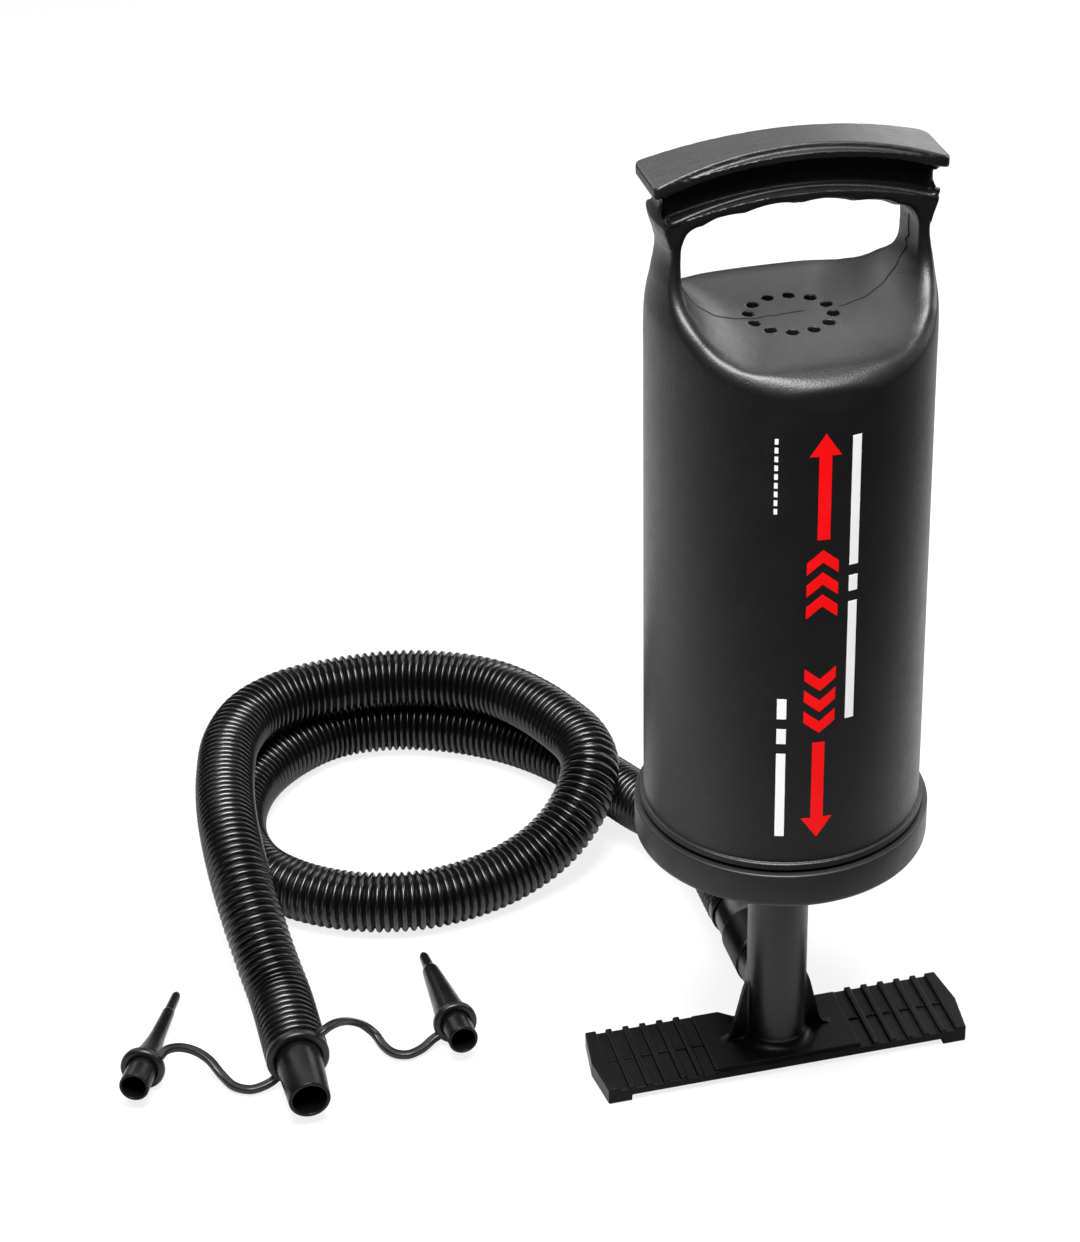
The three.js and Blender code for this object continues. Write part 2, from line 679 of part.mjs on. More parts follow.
function handleRail() {
  const railTop = handleArcRadius - railDrop;
  const underside = handleArcRadius - handleDrop;
  const rail = swept([
    [underside, railFlatHalfWidth], [underside + railCoreDrop, flangeEndHalfWidth],
    [railTop, flangeEndHalfWidth], [railTop, webHalfWidth],
    [handleArcRadius - flangeThickness / 2, webHalfWidth],
  ]).intersect(handlePlan(railInset));
  const scallops = Array.from({ length: scallopCount }, (_, i) => {
    const angle = ((i - (scallopCount - 1) / 2) * scallopPitch) / underside;
    const centre = underside + scallopDepth - scallopRadius;
    const round = arc(centre * Math.sin(angle), arcCentre + centre * Math.cos(angle),
      scallopRadius, scallopRadius, 0, 2 * Math.PI, scallopSides).slice(1);
    return alongY(round, -barrelWidth, barrelWidth);
  });
  const waist = waistPoints();
  const insidePosts = turnedAboutZ([[0, waist[0][1]], ...waist, [0, handleTop]], barrelSides);
  return cut(rail.intersect(insidePosts), ...scallops);
}

function deckCageSocket() {
  const inner = cageRadius + fitGap;
  return ring(inner, inner + cageSocketWall, cageLow + wideGap, ceiling + weldDepth, rodSides);
}

function barrelShell() {
  const posts = cut(barrelBody().intersect(sideView()).intersect(frontView()), handHole(), pocket());
  const whole = joined(posts, handleFlange(), handleRail(), deckCageSocket());
  return drilled(whole, intakeHoleRadius, ceiling - cutOverrun, deckTop + cutOverrun,
    intakeHoleCount, intakeCircleRadius, Math.PI / intakeHoleCount);
}

// Deck valve: a disc that floats between its cage's floor and the deck's intake holes
function deckCage() {
  const floorTop = cageLow + cageFloorThickness;
  const profile = [
    [0, cageLow], [cageRadius, cageLow], [cageRadius, ceiling - fitGap],
    [cageRadius - cageWall, ceiling - fitGap], [cageRadius - cageWall, floorTop], [0, floorTop],
  ];
  return drilled(turnedAboutZ(profile, rodSides), cageWindowRadius, cageLow - cutOverrun,
    floorTop + cutOverrun, cageWindowCount, cageWindowCircle, 0);
}

function deckDisc() {
  const low = cageLow + cageFloorThickness + fitGap;
  return rod(deckDiscRadius, low, low + discThickness, rodSides);
}

// Bottom cap with its hub, and what the hub holds
const bushBore = rodRadius + fitGap;
const bushRadius = bushBore + bushWall;
const hubBore = bushRadius + wideGap;
const hubRadius = hubBore + hubWall;
const runningHole = rodRadius + 2 * wideGap;
const skirtInner = barrelBottomRadius + fitGap;
const capRadius = skirtInner + capWall;
const gasketLow = barrelRimHeight - fitGap - gasketThickness;
const capFloorTop = gasketLow - fitGap;
const capBottom = capFloorTop - capFloorThickness;
const hubTop = capFloorTop + hubRise;
const bushLow = capBottom + capLipThickness + fitGap;
const bushHigh = bushLow + bushLength;
const rodSealHigh = bushHigh + fitGap + rodSealLength;
const retainerTop = rodSealHigh + fitGap + retainerLipThickness;
const capDiscInner = hubRadius + capDiscHubGap;
const capHoleCircle = (capDiscInner + capDiscRadius) / 2;

function bottomCap() {
  const profile = [
    [runningHole, capBottom],
    ...arc(capRadius - capEdgeRadius, capBottom + capEdgeRadius, capEdgeRadius, capEdgeRadius,
      -Math.PI / 2, 0, filletSteps),
    [capRadius, capBottom + capHeight], [skirtInner, capBottom + capHeight],
    [skirtInner, snapHigh + wideGap], [skirtInner + snapRidgeHeight, snapMiddle],
    [skirtInner, snapLow - wideGap], [skirtInner, capFloorTop], [hubRadius, capFloorTop],
    [hubRadius, hubTop], [hubBore, hubTop], [hubBore, bushLow - fitGap], [runningHole, bushLow - fitGap],
  ];
  return drilled(turnedAboutZ(profile, barrelSides), capHoleRadius, capBottom - cutOverrun,
    capFloorTop + cutOverrun, capHoleCount, capHoleCircle, Math.PI / capHoleCount);
}

function bushRetainer() {
  const low = hubTop + fitGap;
  const flangeTop = low + retainerFlangeThickness;
  const sleeve = hubBore + retainerWall;
  return turnedAboutZ([
    [hubBore, low], [retainerFlangeRadius, low], [retainerFlangeRadius, flangeTop], [sleeve, flangeTop],
    [sleeve, retainerTop], [runningHole, retainerTop], [runningHole, rodSealHigh + fitGap],
    [hubBore, rodSealHigh + fitGap],
  ], rodSides);
}

function smoothCurve(route) {
  return new THREE.CatmullRomCurve3(route.map((p) => new THREE.Vector3(...p)), false, 'centripetal');
}

// Ribbed hose: one closed tube of crest and root rings outside and plain rings in the bore
function ringPoints(curve, frames, count, at, radius) {
  const share = at / count;
  const centre = curve.getPointAt(share);
  const tangent = curve.getTangentAt(share);
  const near = Math.min(Math.round(share * frames.steps), frames.steps);
  const normal = frames.normals[near];
  const side = normal.clone().addScaledVector(tangent, -normal.dot(tangent)).normalize();
  const up = new THREE.Vector3().crossVectors(tangent, side);
  return Array.from({ length: ribSides }, (_, k) => {
    const angle = (2 * Math.PI * k) / ribSides;
    return centre.clone().addScaledVector(side, radius * Math.cos(angle))
      .addScaledVector(up, radius * Math.sin(angle));
  });
}

function ribbedHose() {
  const curve = smoothCurve(hoseRoute);
  curve.arcLengthDivisions = hoseRoute.length * arcDivisions;
  const length = curve.getLength();
  const ribCount = Math.round(length / ribPitch);
  const frames = curve.computeFrenetFrames(ribCount * 2);
  frames.steps = ribCount * 2;
  const outside = [];
  for (let i = 0; i <= ribCount * 2; i += 1) {
    const radius = i % 2 === 1 ? hoseRadius : hoseRootRadius;
    outside.push(ringPoints(curve, frames, ribCount * 2, i, radius));
  }
  const inside = [];
  for (let i = 0; i < ribCount; i += ribsPerBoreRing) {
    inside.push(ringPoints(curve, frames, ribCount, i, hoseBoreRadius));
  }
  inside.push(ringPoints(curve, frames, ribCount, ribCount, hoseBoreRadius));
  const rings = [...outside, ...inside.reverse()];
  const positions = rings.flat().flatMap((p) => [p.x, p.y, p.z]);
  const index = [];
  rings.forEach((_, i) => {
    const here = i * ribSides;
    const next = ((i + 1) % rings.length) * ribSides;
    for (let k = 0; k < ribSides; k += 1) {
      const turn = (k + 1) % ribSides;
      index.push(here + k, here + turn, next + turn, here + k, next + turn, next + k);
    }
  });
  const geometry = new THREE.BufferGeometry();
  geometry.setAttribute('position', new THREE.Float32BufferAttribute(positions, 3));
  geometry.setIndex(index);
  geometry.computeVertexNormals();
  reportHose(outside, length, ribCount);
  return geometry;
}

// The least gap of the hose to itself, between the surface points of turns that only pass each other
function reportHose(rings, length, ribCount) {
  const apart = Math.ceil((4 * hoseRadius) / (length / rings.length));
  let least = Infinity;
  rings.forEach((ringA, i) => {
    for (let j = i + apart; j < rings.length; j += 1) {
      if (ringA[0].distanceTo(rings[j][0]) < 4 * hoseRadius) {
        for (const a of ringA) for (const b of rings[j]) least = Math.min(least, a.distanceTo(b));
      }
    }
  });
  console.log(`hose ${length.toFixed(0)} mm, ${ribCount} ribs, least gap to itself ${least.toFixed(2)} mm`);
}

// Hose plug, cuff and nozzle
const hoseStart = hoseRoute[0][1];
const [nozzleX, hoseEnd, nozzleAxisHeight] = hoseRoute.at(-1);
const nozzleAt = [nozzleX, 0, nozzleAxisHeight];
const nozzleBack = hoseEnd - fitGap;
const collarEnd = portCupEnd + fitGap + plugCollarLength;

function hosePlug() {
  const insideRadius = portCupRadius - portCupWall - fitGap;
  const low = cupBoreStart + wideGap;
  const high = hoseStart + plugSpigotReach;
  return turnedAboutY([
    [plugBoreRadius, low], [insideRadius, low], [insideRadius, portCupEnd + fitGap],
    [plugCollarRadius, portCupEnd + fitGap], [plugCollarRadius, collarEnd], [plugSpigotRadius, collarEnd],
    [plugSpigotRadius, high], [plugBoreRadius, high],
  ], rodSides, [0, 0, portHeight]);
}

function hoseCuff() {
  const inner = plugSpigotRadius + fitGap;
  const low = collarEnd + fitGap;
  const high = hoseStart - fitGap;
  return turnedAboutY([[inner, low], [cuffRadius, low], [cuffRadius, high], [inner, high]],
    rodSides, [0, 0, portHeight]);
}

function nozzle() {
  const step = nozzleBack - tetherRingWidth;
  const high = hoseEnd + nozzleSpigotReach;
  return turnedAboutY([
    [nozzleBoreRadius, nozzleTip], [nozzleTipRadius, nozzleTip], [nozzleBaseRadius, step],
    [nozzleBaseRadius, nozzleBack], [plugSpigotRadius, nozzleBack], [plugSpigotRadius, high],
    [plugBoreRadius, high], [plugBoreRadius, step],
  ], rodSides, nozzleAt);
}

// Adapters: a spigot, a shoulder and a cone with a bore right through, from the mouth to the tip
const adapterSpigotRadius = nozzleBoreRadius - adapterPlugGap;
const adapterBoreRadius = adapterSpigotRadius - adapterWall;

function aimed(geometry, mouth, tip) {
  const from = new THREE.Vector3(...mouth);
  const direction = new THREE.Vector3(...tip).sub(from).normalize();
  const turn = new THREE.Quaternion().setFromUnitVectors(new THREE.Vector3(0, 1, 0), direction);
  return geometry.applyQuaternion(turn).translate(...mouth);
}

function adapter(coneShares, mouth, tip) {
  const shoulder = adapterRingStart + endRingWidth + fitGap;
  const reach = adapterLength - shoulder;
  const cone = coneShares.map(([out, up]) => [adapterShoulderRadius * out, shoulder + reach * up]);
  const bore = boreShares.map(([out, up]) => [adapterBoreRadius * out, adapterLength * up]);
  const profile = [[adapterSpigotRadius, 0], [adapterSpigotRadius, shoulder], ...cone, ...bore];
  return aimed(turnedGeometry(profile, smallSides), mouth, tip);
}

function slotTool(mouth, tip) {
  const box = new THREE.BoxGeometry(adapterShoulderRadius, tipSlotLength, tipSlotWidth)
    .translate(-adapterShoulderRadius / 2, adapterLength - tipSlotLength / 2 - tipSlotWidth, 0);
  return toSolid(aimed(box, mouth, tip));
}

// Tether: a ring on the hose's end, two straps and a ring on each adapter, all one moulding
function strap(route) {
  const half = [strapWidth / 2, strapDepth / 2];
  const section = [[-half[0], -half[1]], [half[0], -half[1]], half, [-half[0], half[1]]];
  const shape = new THREE.Shape(section.map(([u, v]) => new THREE.Vector2(u, v)));
  const options = { steps: strapSteps, extrudePath: smoothCurve(route), bevelEnabled: false };
  return toSolid(new THREE.ExtrudeGeometry(shape, options));
}

function adapterRing(mouth, tip) {
  const inner = adapterSpigotRadius + fitGap;
  const low = adapterRingStart;
  const high = low + endRingWidth;
  const outer = inner + endRingWall;
  const profile = [[inner, low], [outer, low], [outer, high], [inner, high]];
  return toSolid(aimed(turnedGeometry(profile, smallSides), mouth, tip));
}

function tether() {
  const inner = nozzleBaseRadius + fitGap;
  const high = nozzleBack - fitGap;
  const low = high - tetherRingWidth + fitGap;
  const outer = inner + tetherRingWall;
  const hoseRingEdge = [[inner, low], [outer, low], [outer, high], [inner, high]];
  const hoseRing = turnedAboutY(hoseRingEdge, rodSides, nozzleAt);
  return joined(hoseRing, strap(leftStrapRoute), strap(rightStrapRoute),
    adapterRing(leftAdapterMouth, leftAdapterTip), adapterRing(rightAdapterMouth, rightAdapterTip));
}

// Finishes
const shellPlastic = { color: 0x1d1d1c, roughness: 0.5, metalness: 0 };
const footPlastic = { color: 0x161616, roughness: 0.55, metalness: 0 };
const innerPlastic = { color: 0x2b2d30, roughness: 0.5, metalness: 0 };
const hosePlastic = { color: 0x121212, roughness: 0.35, metalness: 0 };
const softRubber = { color: 0x232323, roughness: 0.75, metalness: 0 };

const pump = new THREE.Group();

function place(name, geometry, finish) {
  const mesh = new THREE.Mesh(geometry, new THREE.MeshStandardMaterial(finish));
  mesh.name = name;
  pump.add(mesh);
}

place('foot_base', toGeometry(footBase()), footPlastic);
place('rod_tube', toGeometry(rodTube()), footPlastic);
place('piston_lower', toGeometry(pistonLower()), innerPlastic);
place('piston_upper', toGeometry(pistonUpper()), innerPlastic);
place('piston_seal_lower', toGeometry(lipSeal(lowerPlateHigh + fitGap, wallMeet - fitGap / 2)), softRubber);
place('piston_seal_upper', toGeometry(lipSeal(upperPlateLow - fitGap, wallMeet + fitGap / 2)), softRubber);
place('piston_sleeve', toGeometry(pistonSleeve()), innerPlastic);
const lowerDiscLow = lowerPlateHigh + fitGap;
place('piston_disc_lower', toGeometry(
  ring(discInner, pistonDiscRadius, lowerDiscLow, lowerDiscLow + discThickness, rodSides)), softRubber);
place('piston_disc_upper', toGeometry(
  ring(discInner, pistonDiscRadius, upperDiscLow, upperDiscLow + discThickness, rodSides)), softRubber);
place('piston_nut', toGeometry(capNut()), innerPlastic);
place('rod_bush', toGeometry(ring(bushBore, bushRadius, bushLow, bushHigh, rodSides)), innerPlastic);
const rodSeal = ring(bushBore, bushRadius, bushHigh + fitGap, rodSealHigh, rodSides);
place('rod_seal', toGeometry(rodSeal), softRubber);
place('barrel_shell', toGeometry(barrelShell()), shellPlastic);
place('deck_disc', toGeometry(deckDisc()), softRubber);
place('deck_disc_cage', toGeometry(deckCage()), innerPlastic);
place('bottom_cap', toGeometry(bottomCap()), shellPlastic);
place('cap_gasket', toGeometry(
  ring(boreRadius, barrelBottomRadius, gasketLow, gasketLow + gasketThickness, pistonSides)), softRubber);
place('cap_disc', toGeometry(
  ring(capDiscInner, capDiscRadius, gasketLow, gasketLow + discThickness, rodSides)), softRubber);
place('bush_retainer', toGeometry(bushRetainer()), innerPlastic);
place('hose_plug', toGeometry(hosePlug()), hosePlastic);
place('hose_cuff', toGeometry(hoseCuff()), hosePlastic);
place('hose', ribbedHose(), hosePlastic);
place('nozzle', toGeometry(nozzle()), hosePlastic);
place('tether', toGeometry(tether()), softRubber);
place('adapter_plain', toGeometry(toSolid(adapter(plainConeShares, leftAdapterMouth, leftAdapterTip))),
  hosePlastic);
place('adapter_stepped', toGeometry(cut(
  toSolid(adapter(steppedConeShares, rightAdapterMouth, rightAdapterTip)),
  slotTool(rightAdapterMouth, rightAdapterTip))), hosePlastic);

export default pump;
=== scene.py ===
import math

import bmesh
import bpy
import numpy as np
from mathutils import Matrix, Vector


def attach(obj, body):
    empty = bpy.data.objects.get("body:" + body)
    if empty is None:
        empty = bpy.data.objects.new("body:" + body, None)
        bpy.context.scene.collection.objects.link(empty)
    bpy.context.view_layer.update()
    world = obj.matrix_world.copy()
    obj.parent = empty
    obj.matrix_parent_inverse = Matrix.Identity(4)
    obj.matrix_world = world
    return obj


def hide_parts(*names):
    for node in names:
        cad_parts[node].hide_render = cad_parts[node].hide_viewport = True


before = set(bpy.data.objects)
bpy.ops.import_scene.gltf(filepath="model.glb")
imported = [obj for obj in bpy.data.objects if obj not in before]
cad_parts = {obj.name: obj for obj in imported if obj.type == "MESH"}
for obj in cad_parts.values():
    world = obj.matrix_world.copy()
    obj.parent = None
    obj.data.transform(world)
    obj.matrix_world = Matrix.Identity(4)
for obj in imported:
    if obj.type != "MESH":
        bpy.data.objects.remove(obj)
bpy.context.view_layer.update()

# Shapes are written in millimetres and turned into metres when a mesh is made; the rest is in metres
MM = 0.001
UP = Vector((0, 0, 1))
AWAY = Vector((0, 1, 0))


def linked(name, data):
    """A new object in the scene."""
    obj = bpy.data.objects.new(name, data)
    bpy.context.collection.objects.link(obj)
    return obj


# Camera
EYE = Vector((-290.08, -871.02, 743.82))
CAMERA_TURN = -0.22815
CAMERA_RISE = 0.54331
CAMERA_ROLL = -0.02737
FOCAL_PIXELS = 3047.8
LONG_SIDE_PIXELS = 1242
SENSOR = 36

camera_data = bpy.data.cameras.new("camera")
camera_data.sensor_width = SENSOR
camera_data.lens = FOCAL_PIXELS * SENSOR / LONG_SIDE_PIXELS
camera_data.clip_start = 0.02
camera_data.clip_end = 50
camera = linked("camera", camera_data)
back = Vector((
    math.sin(CAMERA_TURN) * math.cos(CAMERA_RISE),
    -math.cos(CAMERA_TURN) * math.cos(CAMERA_RISE),
    math.sin(CAMERA_RISE),
))
level = UP.cross(back).normalized()
over = back.cross(level)
right = level * math.cos(CAMERA_ROLL) + over * math.sin(CAMERA_ROLL)
up = over * math.cos(CAMERA_ROLL) - level * math.sin(CAMERA_ROLL)
camera.matrix_world = Matrix.Translation(EYE * MM) @ Matrix((right, up, back)).transposed().to_4x4()
bpy.context.scene.camera = camera


# Materials
def fed(tree, made, inputs):
    """Gives each input of a node a value, or a link from another node's output."""
    for name, value in inputs.items():
        if isinstance(value, bpy.types.NodeSocket):
            tree.links.new(value, made.inputs[name])
        else:
            made.inputs[name].default_value = value
    return made


def node(tree, kind, inputs=None, **settings):
    made = tree.nodes.new(kind)
    for name, value in settings.items():
        setattr(made, name, value)
    return fed(tree, made, inputs or {})


def object_place(tree):
    return node(tree, "ShaderNodeTexCoord").outputs["Object"]


def noise(tree, place, scale, detail):
    """A noise pattern's value, for a scale in features per metre."""
    inputs = {"Vector": place, "Scale": scale, "Detail": detail, "Roughness": 0.6}
    return node(tree, "ShaderNodeTexNoise", inputs).outputs["Fac"]


def ranged(tree, value, low, high, from_low=0.3, from_high=0.7):
    """The value carried from one range to another."""
    inputs = {"Value": value, "From Min": from_low, "From Max": from_high, "To Min": low, "To Max": high}
    return node(tree, "ShaderNodeMapRange", inputs).outputs["Result"]


def ramp(tree, value, stops):
    """The colour for a value, between stops of (value, colour)."""
    made = node(tree, "ShaderNodeValToRGB", {"Fac": value})
    elements = made.color_ramp.elements
    elements.remove(elements[1])
    elements[0].position = stops[0][0]
    elements[0].color = (*stops[0][1], 1)
    for at, colour in stops[1:]:
        elements.new(at).color = (*colour, 1)
    return made.outputs["Color"]


# How many patches of colour and of gloss there are in a metre of plastic
PATCHES = 60
GLOSS_PATCHES = 180


def plastic(name, dark, light, rough, grain, grain_depth, specular=0.3):
    """Moulded plastic: slow colour patches, uneven gloss and a fine moulded grain, in grains per metre."""
    material = bpy.data.materials.new(name)
    material.use_nodes = True
    tree = material.node_tree
    place = object_place(tree)
    bumps = {"Strength": 0.5, "Distance": grain_depth, "Height": noise(tree, place, grain, 2)}
    fed(tree, tree.nodes["Principled BSDF"], {
        "Base Color": ramp(tree, noise(tree, place, PATCHES, 4), ((0.35, dark), (0.7, light))),
        "Roughness": ranged(tree, noise(tree, place, GLOSS_PATCHES, 3), *rough),
        "Specular IOR Level": specular,
        "Normal": node(tree, "ShaderNodeBump", bumps).outputs["Normal"],
    })
    return material


STREAK_SCALE = (6, 700, 6)
STREAK_DEPTH = 0.00025
STREAK_FADE = 0.0005


def streaked(material, lowest):
    """Adds faint lengthwise lines above a height, as on the handle's top."""
    tree = material.node_tree
    shader = tree.nodes["Principled BSDF"]
    place = object_place(tree)
    scaled = node(tree, "ShaderNodeMapping", {"Vector": place, "Scale": STREAK_SCALE}).outputs["Vector"]
    height = node(tree, "ShaderNodeSeparateXYZ", {0: place}).outputs["Z"]
    bumps = {
        "Strength": ranged(tree, height, 0, 0.6, lowest, lowest + STREAK_FADE),
        "Distance": STREAK_DEPTH,
        "Height": noise(tree, scaled, 1, 3),
        "Normal": shader.inputs["Normal"].links[0].from_socket,
    }
    fed(tree, shader, {"Normal": node(tree, "ShaderNodeBump", bumps).outputs["Normal"]})


def grey(level):
    return level, level, level


SHELL = plastic("shell_plastic", (0.0045, 0.0045, 0.0044), (0.0065, 0.0065, 0.0063), (0.39, 0.44),
                1250, 0.0002, 0.38)
CAP = plastic("cap_plastic", (0.009, 0.009, 0.0088), (0.013, 0.013, 0.0127), (0.38, 0.46), 1800, 0.00004)
FOOT = plastic("foot_plastic", grey(0.001), grey(0.0025), (0.32, 0.4), 1500, 0.00004, 0.09)
INNER = plastic("inner_plastic", (0.02, 0.021, 0.024), (0.03, 0.031, 0.034), (0.4, 0.55), 1500, 0.00004)
COLUMN = plastic("column_plastic", grey(0.0015), grey(0.003), (0.3, 0.38), 1500, 0.00004, 0.38)
HOSE = plastic("hose_plastic", grey(0.001), grey(0.002), (0.24, 0.27), 1400, 0.00002, 0.42)
NOZZLE = plastic("nozzle_plastic", grey(0.002), grey(0.004), (0.24, 0.36), 1400, 0.00003, 0.15)
RUBBER = plastic("soft_rubber", grey(0.0025), grey(0.0045), (0.28, 0.42), 1300, 0.00004)
SEAM = plastic("seam_plastic", grey(0.006), grey(0.01), (0.5, 0.6), 1500, 0.00003)
RED_INK = plastic("red_ink", (0.88, 0.002, 0.004), (0.95, 0.004, 0.006), (0.4, 0.5), 1500, 0.00002, 0.2)
WHITE_INK = plastic("white_ink", grey(0.93), grey(0.97), (0.4, 0.5), 1500, 0.00002)
streaked(SHELL, 0.3615)


# Meshes
def mesh_of(name, points, faces):
    """A mesh from points in millimetres."""
    mesh = bpy.data.meshes.new(name)
    mesh.from_pydata((np.asarray(points, float) * MM).tolist(), [], faces)
    return mesh


def piece(name, points, faces, material, body, slot, sharp=35):
    """A visible piece that rides on a body, smooth where its faces meet at less than an angle."""
    mesh = mesh_of(name, points, faces)
    work = bmesh.new()
    work.from_mesh(mesh)
    bmesh.ops.recalc_face_normals(work, faces=work.faces)
    work.to_mesh(mesh)
    work.free()
    mesh.polygons.foreach_set("use_smooth", [True] * len(mesh.polygons))
    mesh.set_sharp_from_angle(angle=math.radians(sharp))
    mesh.materials.append(material)
    obj = linked(name, mesh)
    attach(obj, body)
    return obj


def taken_from(work):
    """The points and faces of a working mesh, which is then freed."""
    work.verts.index_update()
    points = np.array([v.co[:] for v in work.verts])
    faces = [[v.index for v in f.verts] for f in work.faces]
    work.free()
    return points, faces


def rounded(outline, steps=5):
    """A closed outline of (u, v, radius) corners, with each corner turned into an arc."""
    points = []
    count = len(outline)
    for i, (u, v, radius) in enumerate(outline):
        here = np.array((u, v), float)
        before = np.array(outline[i - 1][:2], float) - here
        after = np.array(outline[(i + 1) % count][:2], float) - here
        if radius <= 0:
            points.append(here)
            continue
        lengths = np.linalg.norm(before), np.linalg.norm(after)
        before, after = before / lengths[0], after / lengths[1]
        half = math.acos(np.clip(before @ after, -1, 1)) / 2
        reach = min(radius / math.tan(half), lengths[0] * 0.49, lengths[1] * 0.49)
        radius = reach * math.tan(half)
        centre = here + (before + after) / np.linalg.norm(before + after) * radius / math.sin(half)
        start, end = here + before * reach - centre, here + after * reach - centre
        turn = math.atan2(start[0] * end[1] - start[1] * end[0], start @ end)
        for k in range(steps + 1):
            a = turn * k / steps
            points.append(centre + (start[0] * math.cos(a) - start[1] * math.sin(a),
                                    start[0] * math.sin(a) + start[1] * math.cos(a)))
    return np.array(points)


def turned(outline, sides):
    """Rings round Z for a closed outline of (radius, height), and the faces between them."""
    angles = np.arange(sides) * math.tau / sides
    points = np.concatenate([
        np.stack([r * np.cos(angles), r * np.sin(angles), np.full(sides, h)], 1) for r, h in outline
    ])
    return points, ring_faces(len(outline), sides, closed=True)


def ring_faces(rings, sides, closed):
    """Faces between neighbouring rings; closed also joins the last ring to the first."""
    faces = []
    for i in range(rings if closed else rings - 1):
        here, there = i * sides, ((i + 1) % rings) * sides
        for k in range(sides):
            n = (k + 1) % sides
            faces.append((here + k, here + n, there + n, there + k))
    return faces


def capped_faces(rings, sides):
    """Faces between neighbouring rings, closed at both ends."""
    ends = [tuple(range(sides))[::-1], tuple(range((rings - 1) * sides, rings * sides))]
    return ring_faces(rings, sides, closed=False) + ends


def along(points, origin, direction):
    """Points made round Z, moved so that Z runs along the direction from the origin."""
    turn = UP.rotation_difference(Vector(direction).normalized()).to_matrix()
    return points @ np.array(turn).T + np.array(origin, float)


def spun_mesh(outline, sides, origin, direction, steps):
    """A turned mesh from (radius, height, corner radius) points."""
    points, faces = turned(rounded(outline, steps), sides)
    return along(points, origin, direction), faces


def spun(name, outline, sides, material, body, slot, origin=(0, 0, 0), direction=UP, steps=5):
    return piece(name, *spun_mesh(outline, sides, origin, direction, steps), material, body, slot)


def travel(points, power=1):
    """How far along a line each of its points is."""
    steps = np.linalg.norm(np.diff(points, axis=0), axis=1)
    return np.concatenate([[0], np.cumsum(steps ** power)])


def curve_through(route, spacing):
    """Evenly spaced points on the centripetal curve through the route."""
    route = np.array(route, float)
    padded = np.vstack([2 * route[0] - route[1], route, 2 * route[-1] - route[-2]])
    fine = []
    for i in range(len(route) - 1):
        p = padded[i:i + 4]
        knots = travel(p, 0.5)
        t = np.linspace(knots[1], knots[2], 40, endpoint=i == len(route) - 2)[:, None]

        def blend(a, b, ta, tb):
            return (tb - t) / (tb - ta) * a + (t - ta) / (tb - ta) * b
        a = [blend(p[k], p[k + 1], knots[k], knots[k + 1]) for k in range(3)]
        b = [blend(a[k], a[k + 1], knots[k], knots[k + 2]) for k in range(2)]
        fine.append(blend(b[0], b[1], knots[1], knots[2]))
    fine = np.concatenate(fine)
    travelled = travel(fine)
    count = max(int(round(travelled[-1] / spacing)), 2)
    at = np.linspace(0, travelled[-1], count + 1)
    return np.stack([np.interp(at, travelled, fine[:, k]) for k in range(3)], 1)


def unit(vectors):
    return vectors / np.linalg.norm(vectors, axis=1)[:, None]


def carried_frames(line):
    """A side and an up direction at each point, carried along the line without twisting."""
    ahead = unit(np.gradient(line, axis=0))
    side = np.cross(ahead[0], UP)
    if np.linalg.norm(side) < 0.1:
        side = np.cross(ahead[0], AWAY)
    sides = []
    for direction in ahead:
        side = side - (side @ direction) * direction
        side /= np.linalg.norm(side)
        sides.append(side)
    sides = np.array(sides)
    return sides, np.cross(sides, ahead)


def rings_on(line, radii, sides):
    """A ring of points round each point of the line."""
    side, up_side = carried_frames(line)
    angles = np.arange(sides)[:, None] * math.tau / sides
    spokes = side[:, None] * np.cos(angles) + up_side[:, None] * np.sin(angles)
    return (line[:, None] + np.asarray(radii)[:, None, None] * spokes).reshape(-1, 3)


# Hose: its route is the one in the solid model, and its ribs have the photo's pitch
HOSE_ROUTE = [
    [0, 50.3, 30.5], [0, 64, 30.5], [0, 78, 30.5], [0, 84, 30.4],
    [-1.5, 104, 28], [-5.5, 125, 22.5], [-12, 146, 16.5], [-20, 170, 12.8],
    [-30.5, 190.5, 12.4], [-43.5, 208.5, 12.4], [-60, 224, 12.4], [-80, 236, 12.4],
    [-102, 243, 12.4], [-126, 243, 12.4], [-147, 233, 12.4], [-164.5, 216, 12.4],
    [-175.5, 194, 12.4], [-179, 170, 12.4], [-174, 147.5, 12.4], [-160, 129.5, 12.4],
    [-139.5, 116.5, 12.4], [-116, 110.8, 12.4], [-93, 113, 12.4], [-73, 118.8, 14.3],
    [-56, 126, 19.5], [-42, 135.5, 28.5], [-33.5, 149.5, 36.3], [-32.5, 166, 38],
    [-38, 185, 38], [-46.5, 203, 38], [-59, 219.5, 38], [-76, 231, 38],
    [-98, 238.5, 38], [-122, 239.8, 38], [-145, 236.5, 38], [-163.5, 225.5, 38],
    [-175, 207, 38], [-181, 184, 38], [-184.5, 160, 38], [-186, 136, 37.6],
    [-186, 113.5, 34.5], [-184.6, 94.5, 27.5], [-182.2, 77, 18.4], [-180.4, 64, 13.4],
    [-180, 54, 12.4], [-180, 47, 12.4], [-180, 28.6, 12.4],
]
RIB_PITCH = 3.2
HOSE_ROOT = 10.4
HOSE_CREST = 12.2
HOSE_BORE = 8.3
RIB_SHAPE = ((0, 0), (0.1, 0.2), (0.22, 0.62), (0.36, 0.92), (0.5, 1), (0.64, 0.92), (0.78, 0.62), (0.9, 0.2))
HOSE_SIDES = 32
ROUTE_STEP = 0.5
# How many ribs lie between two rings of the bore
BORE_STEP = 4


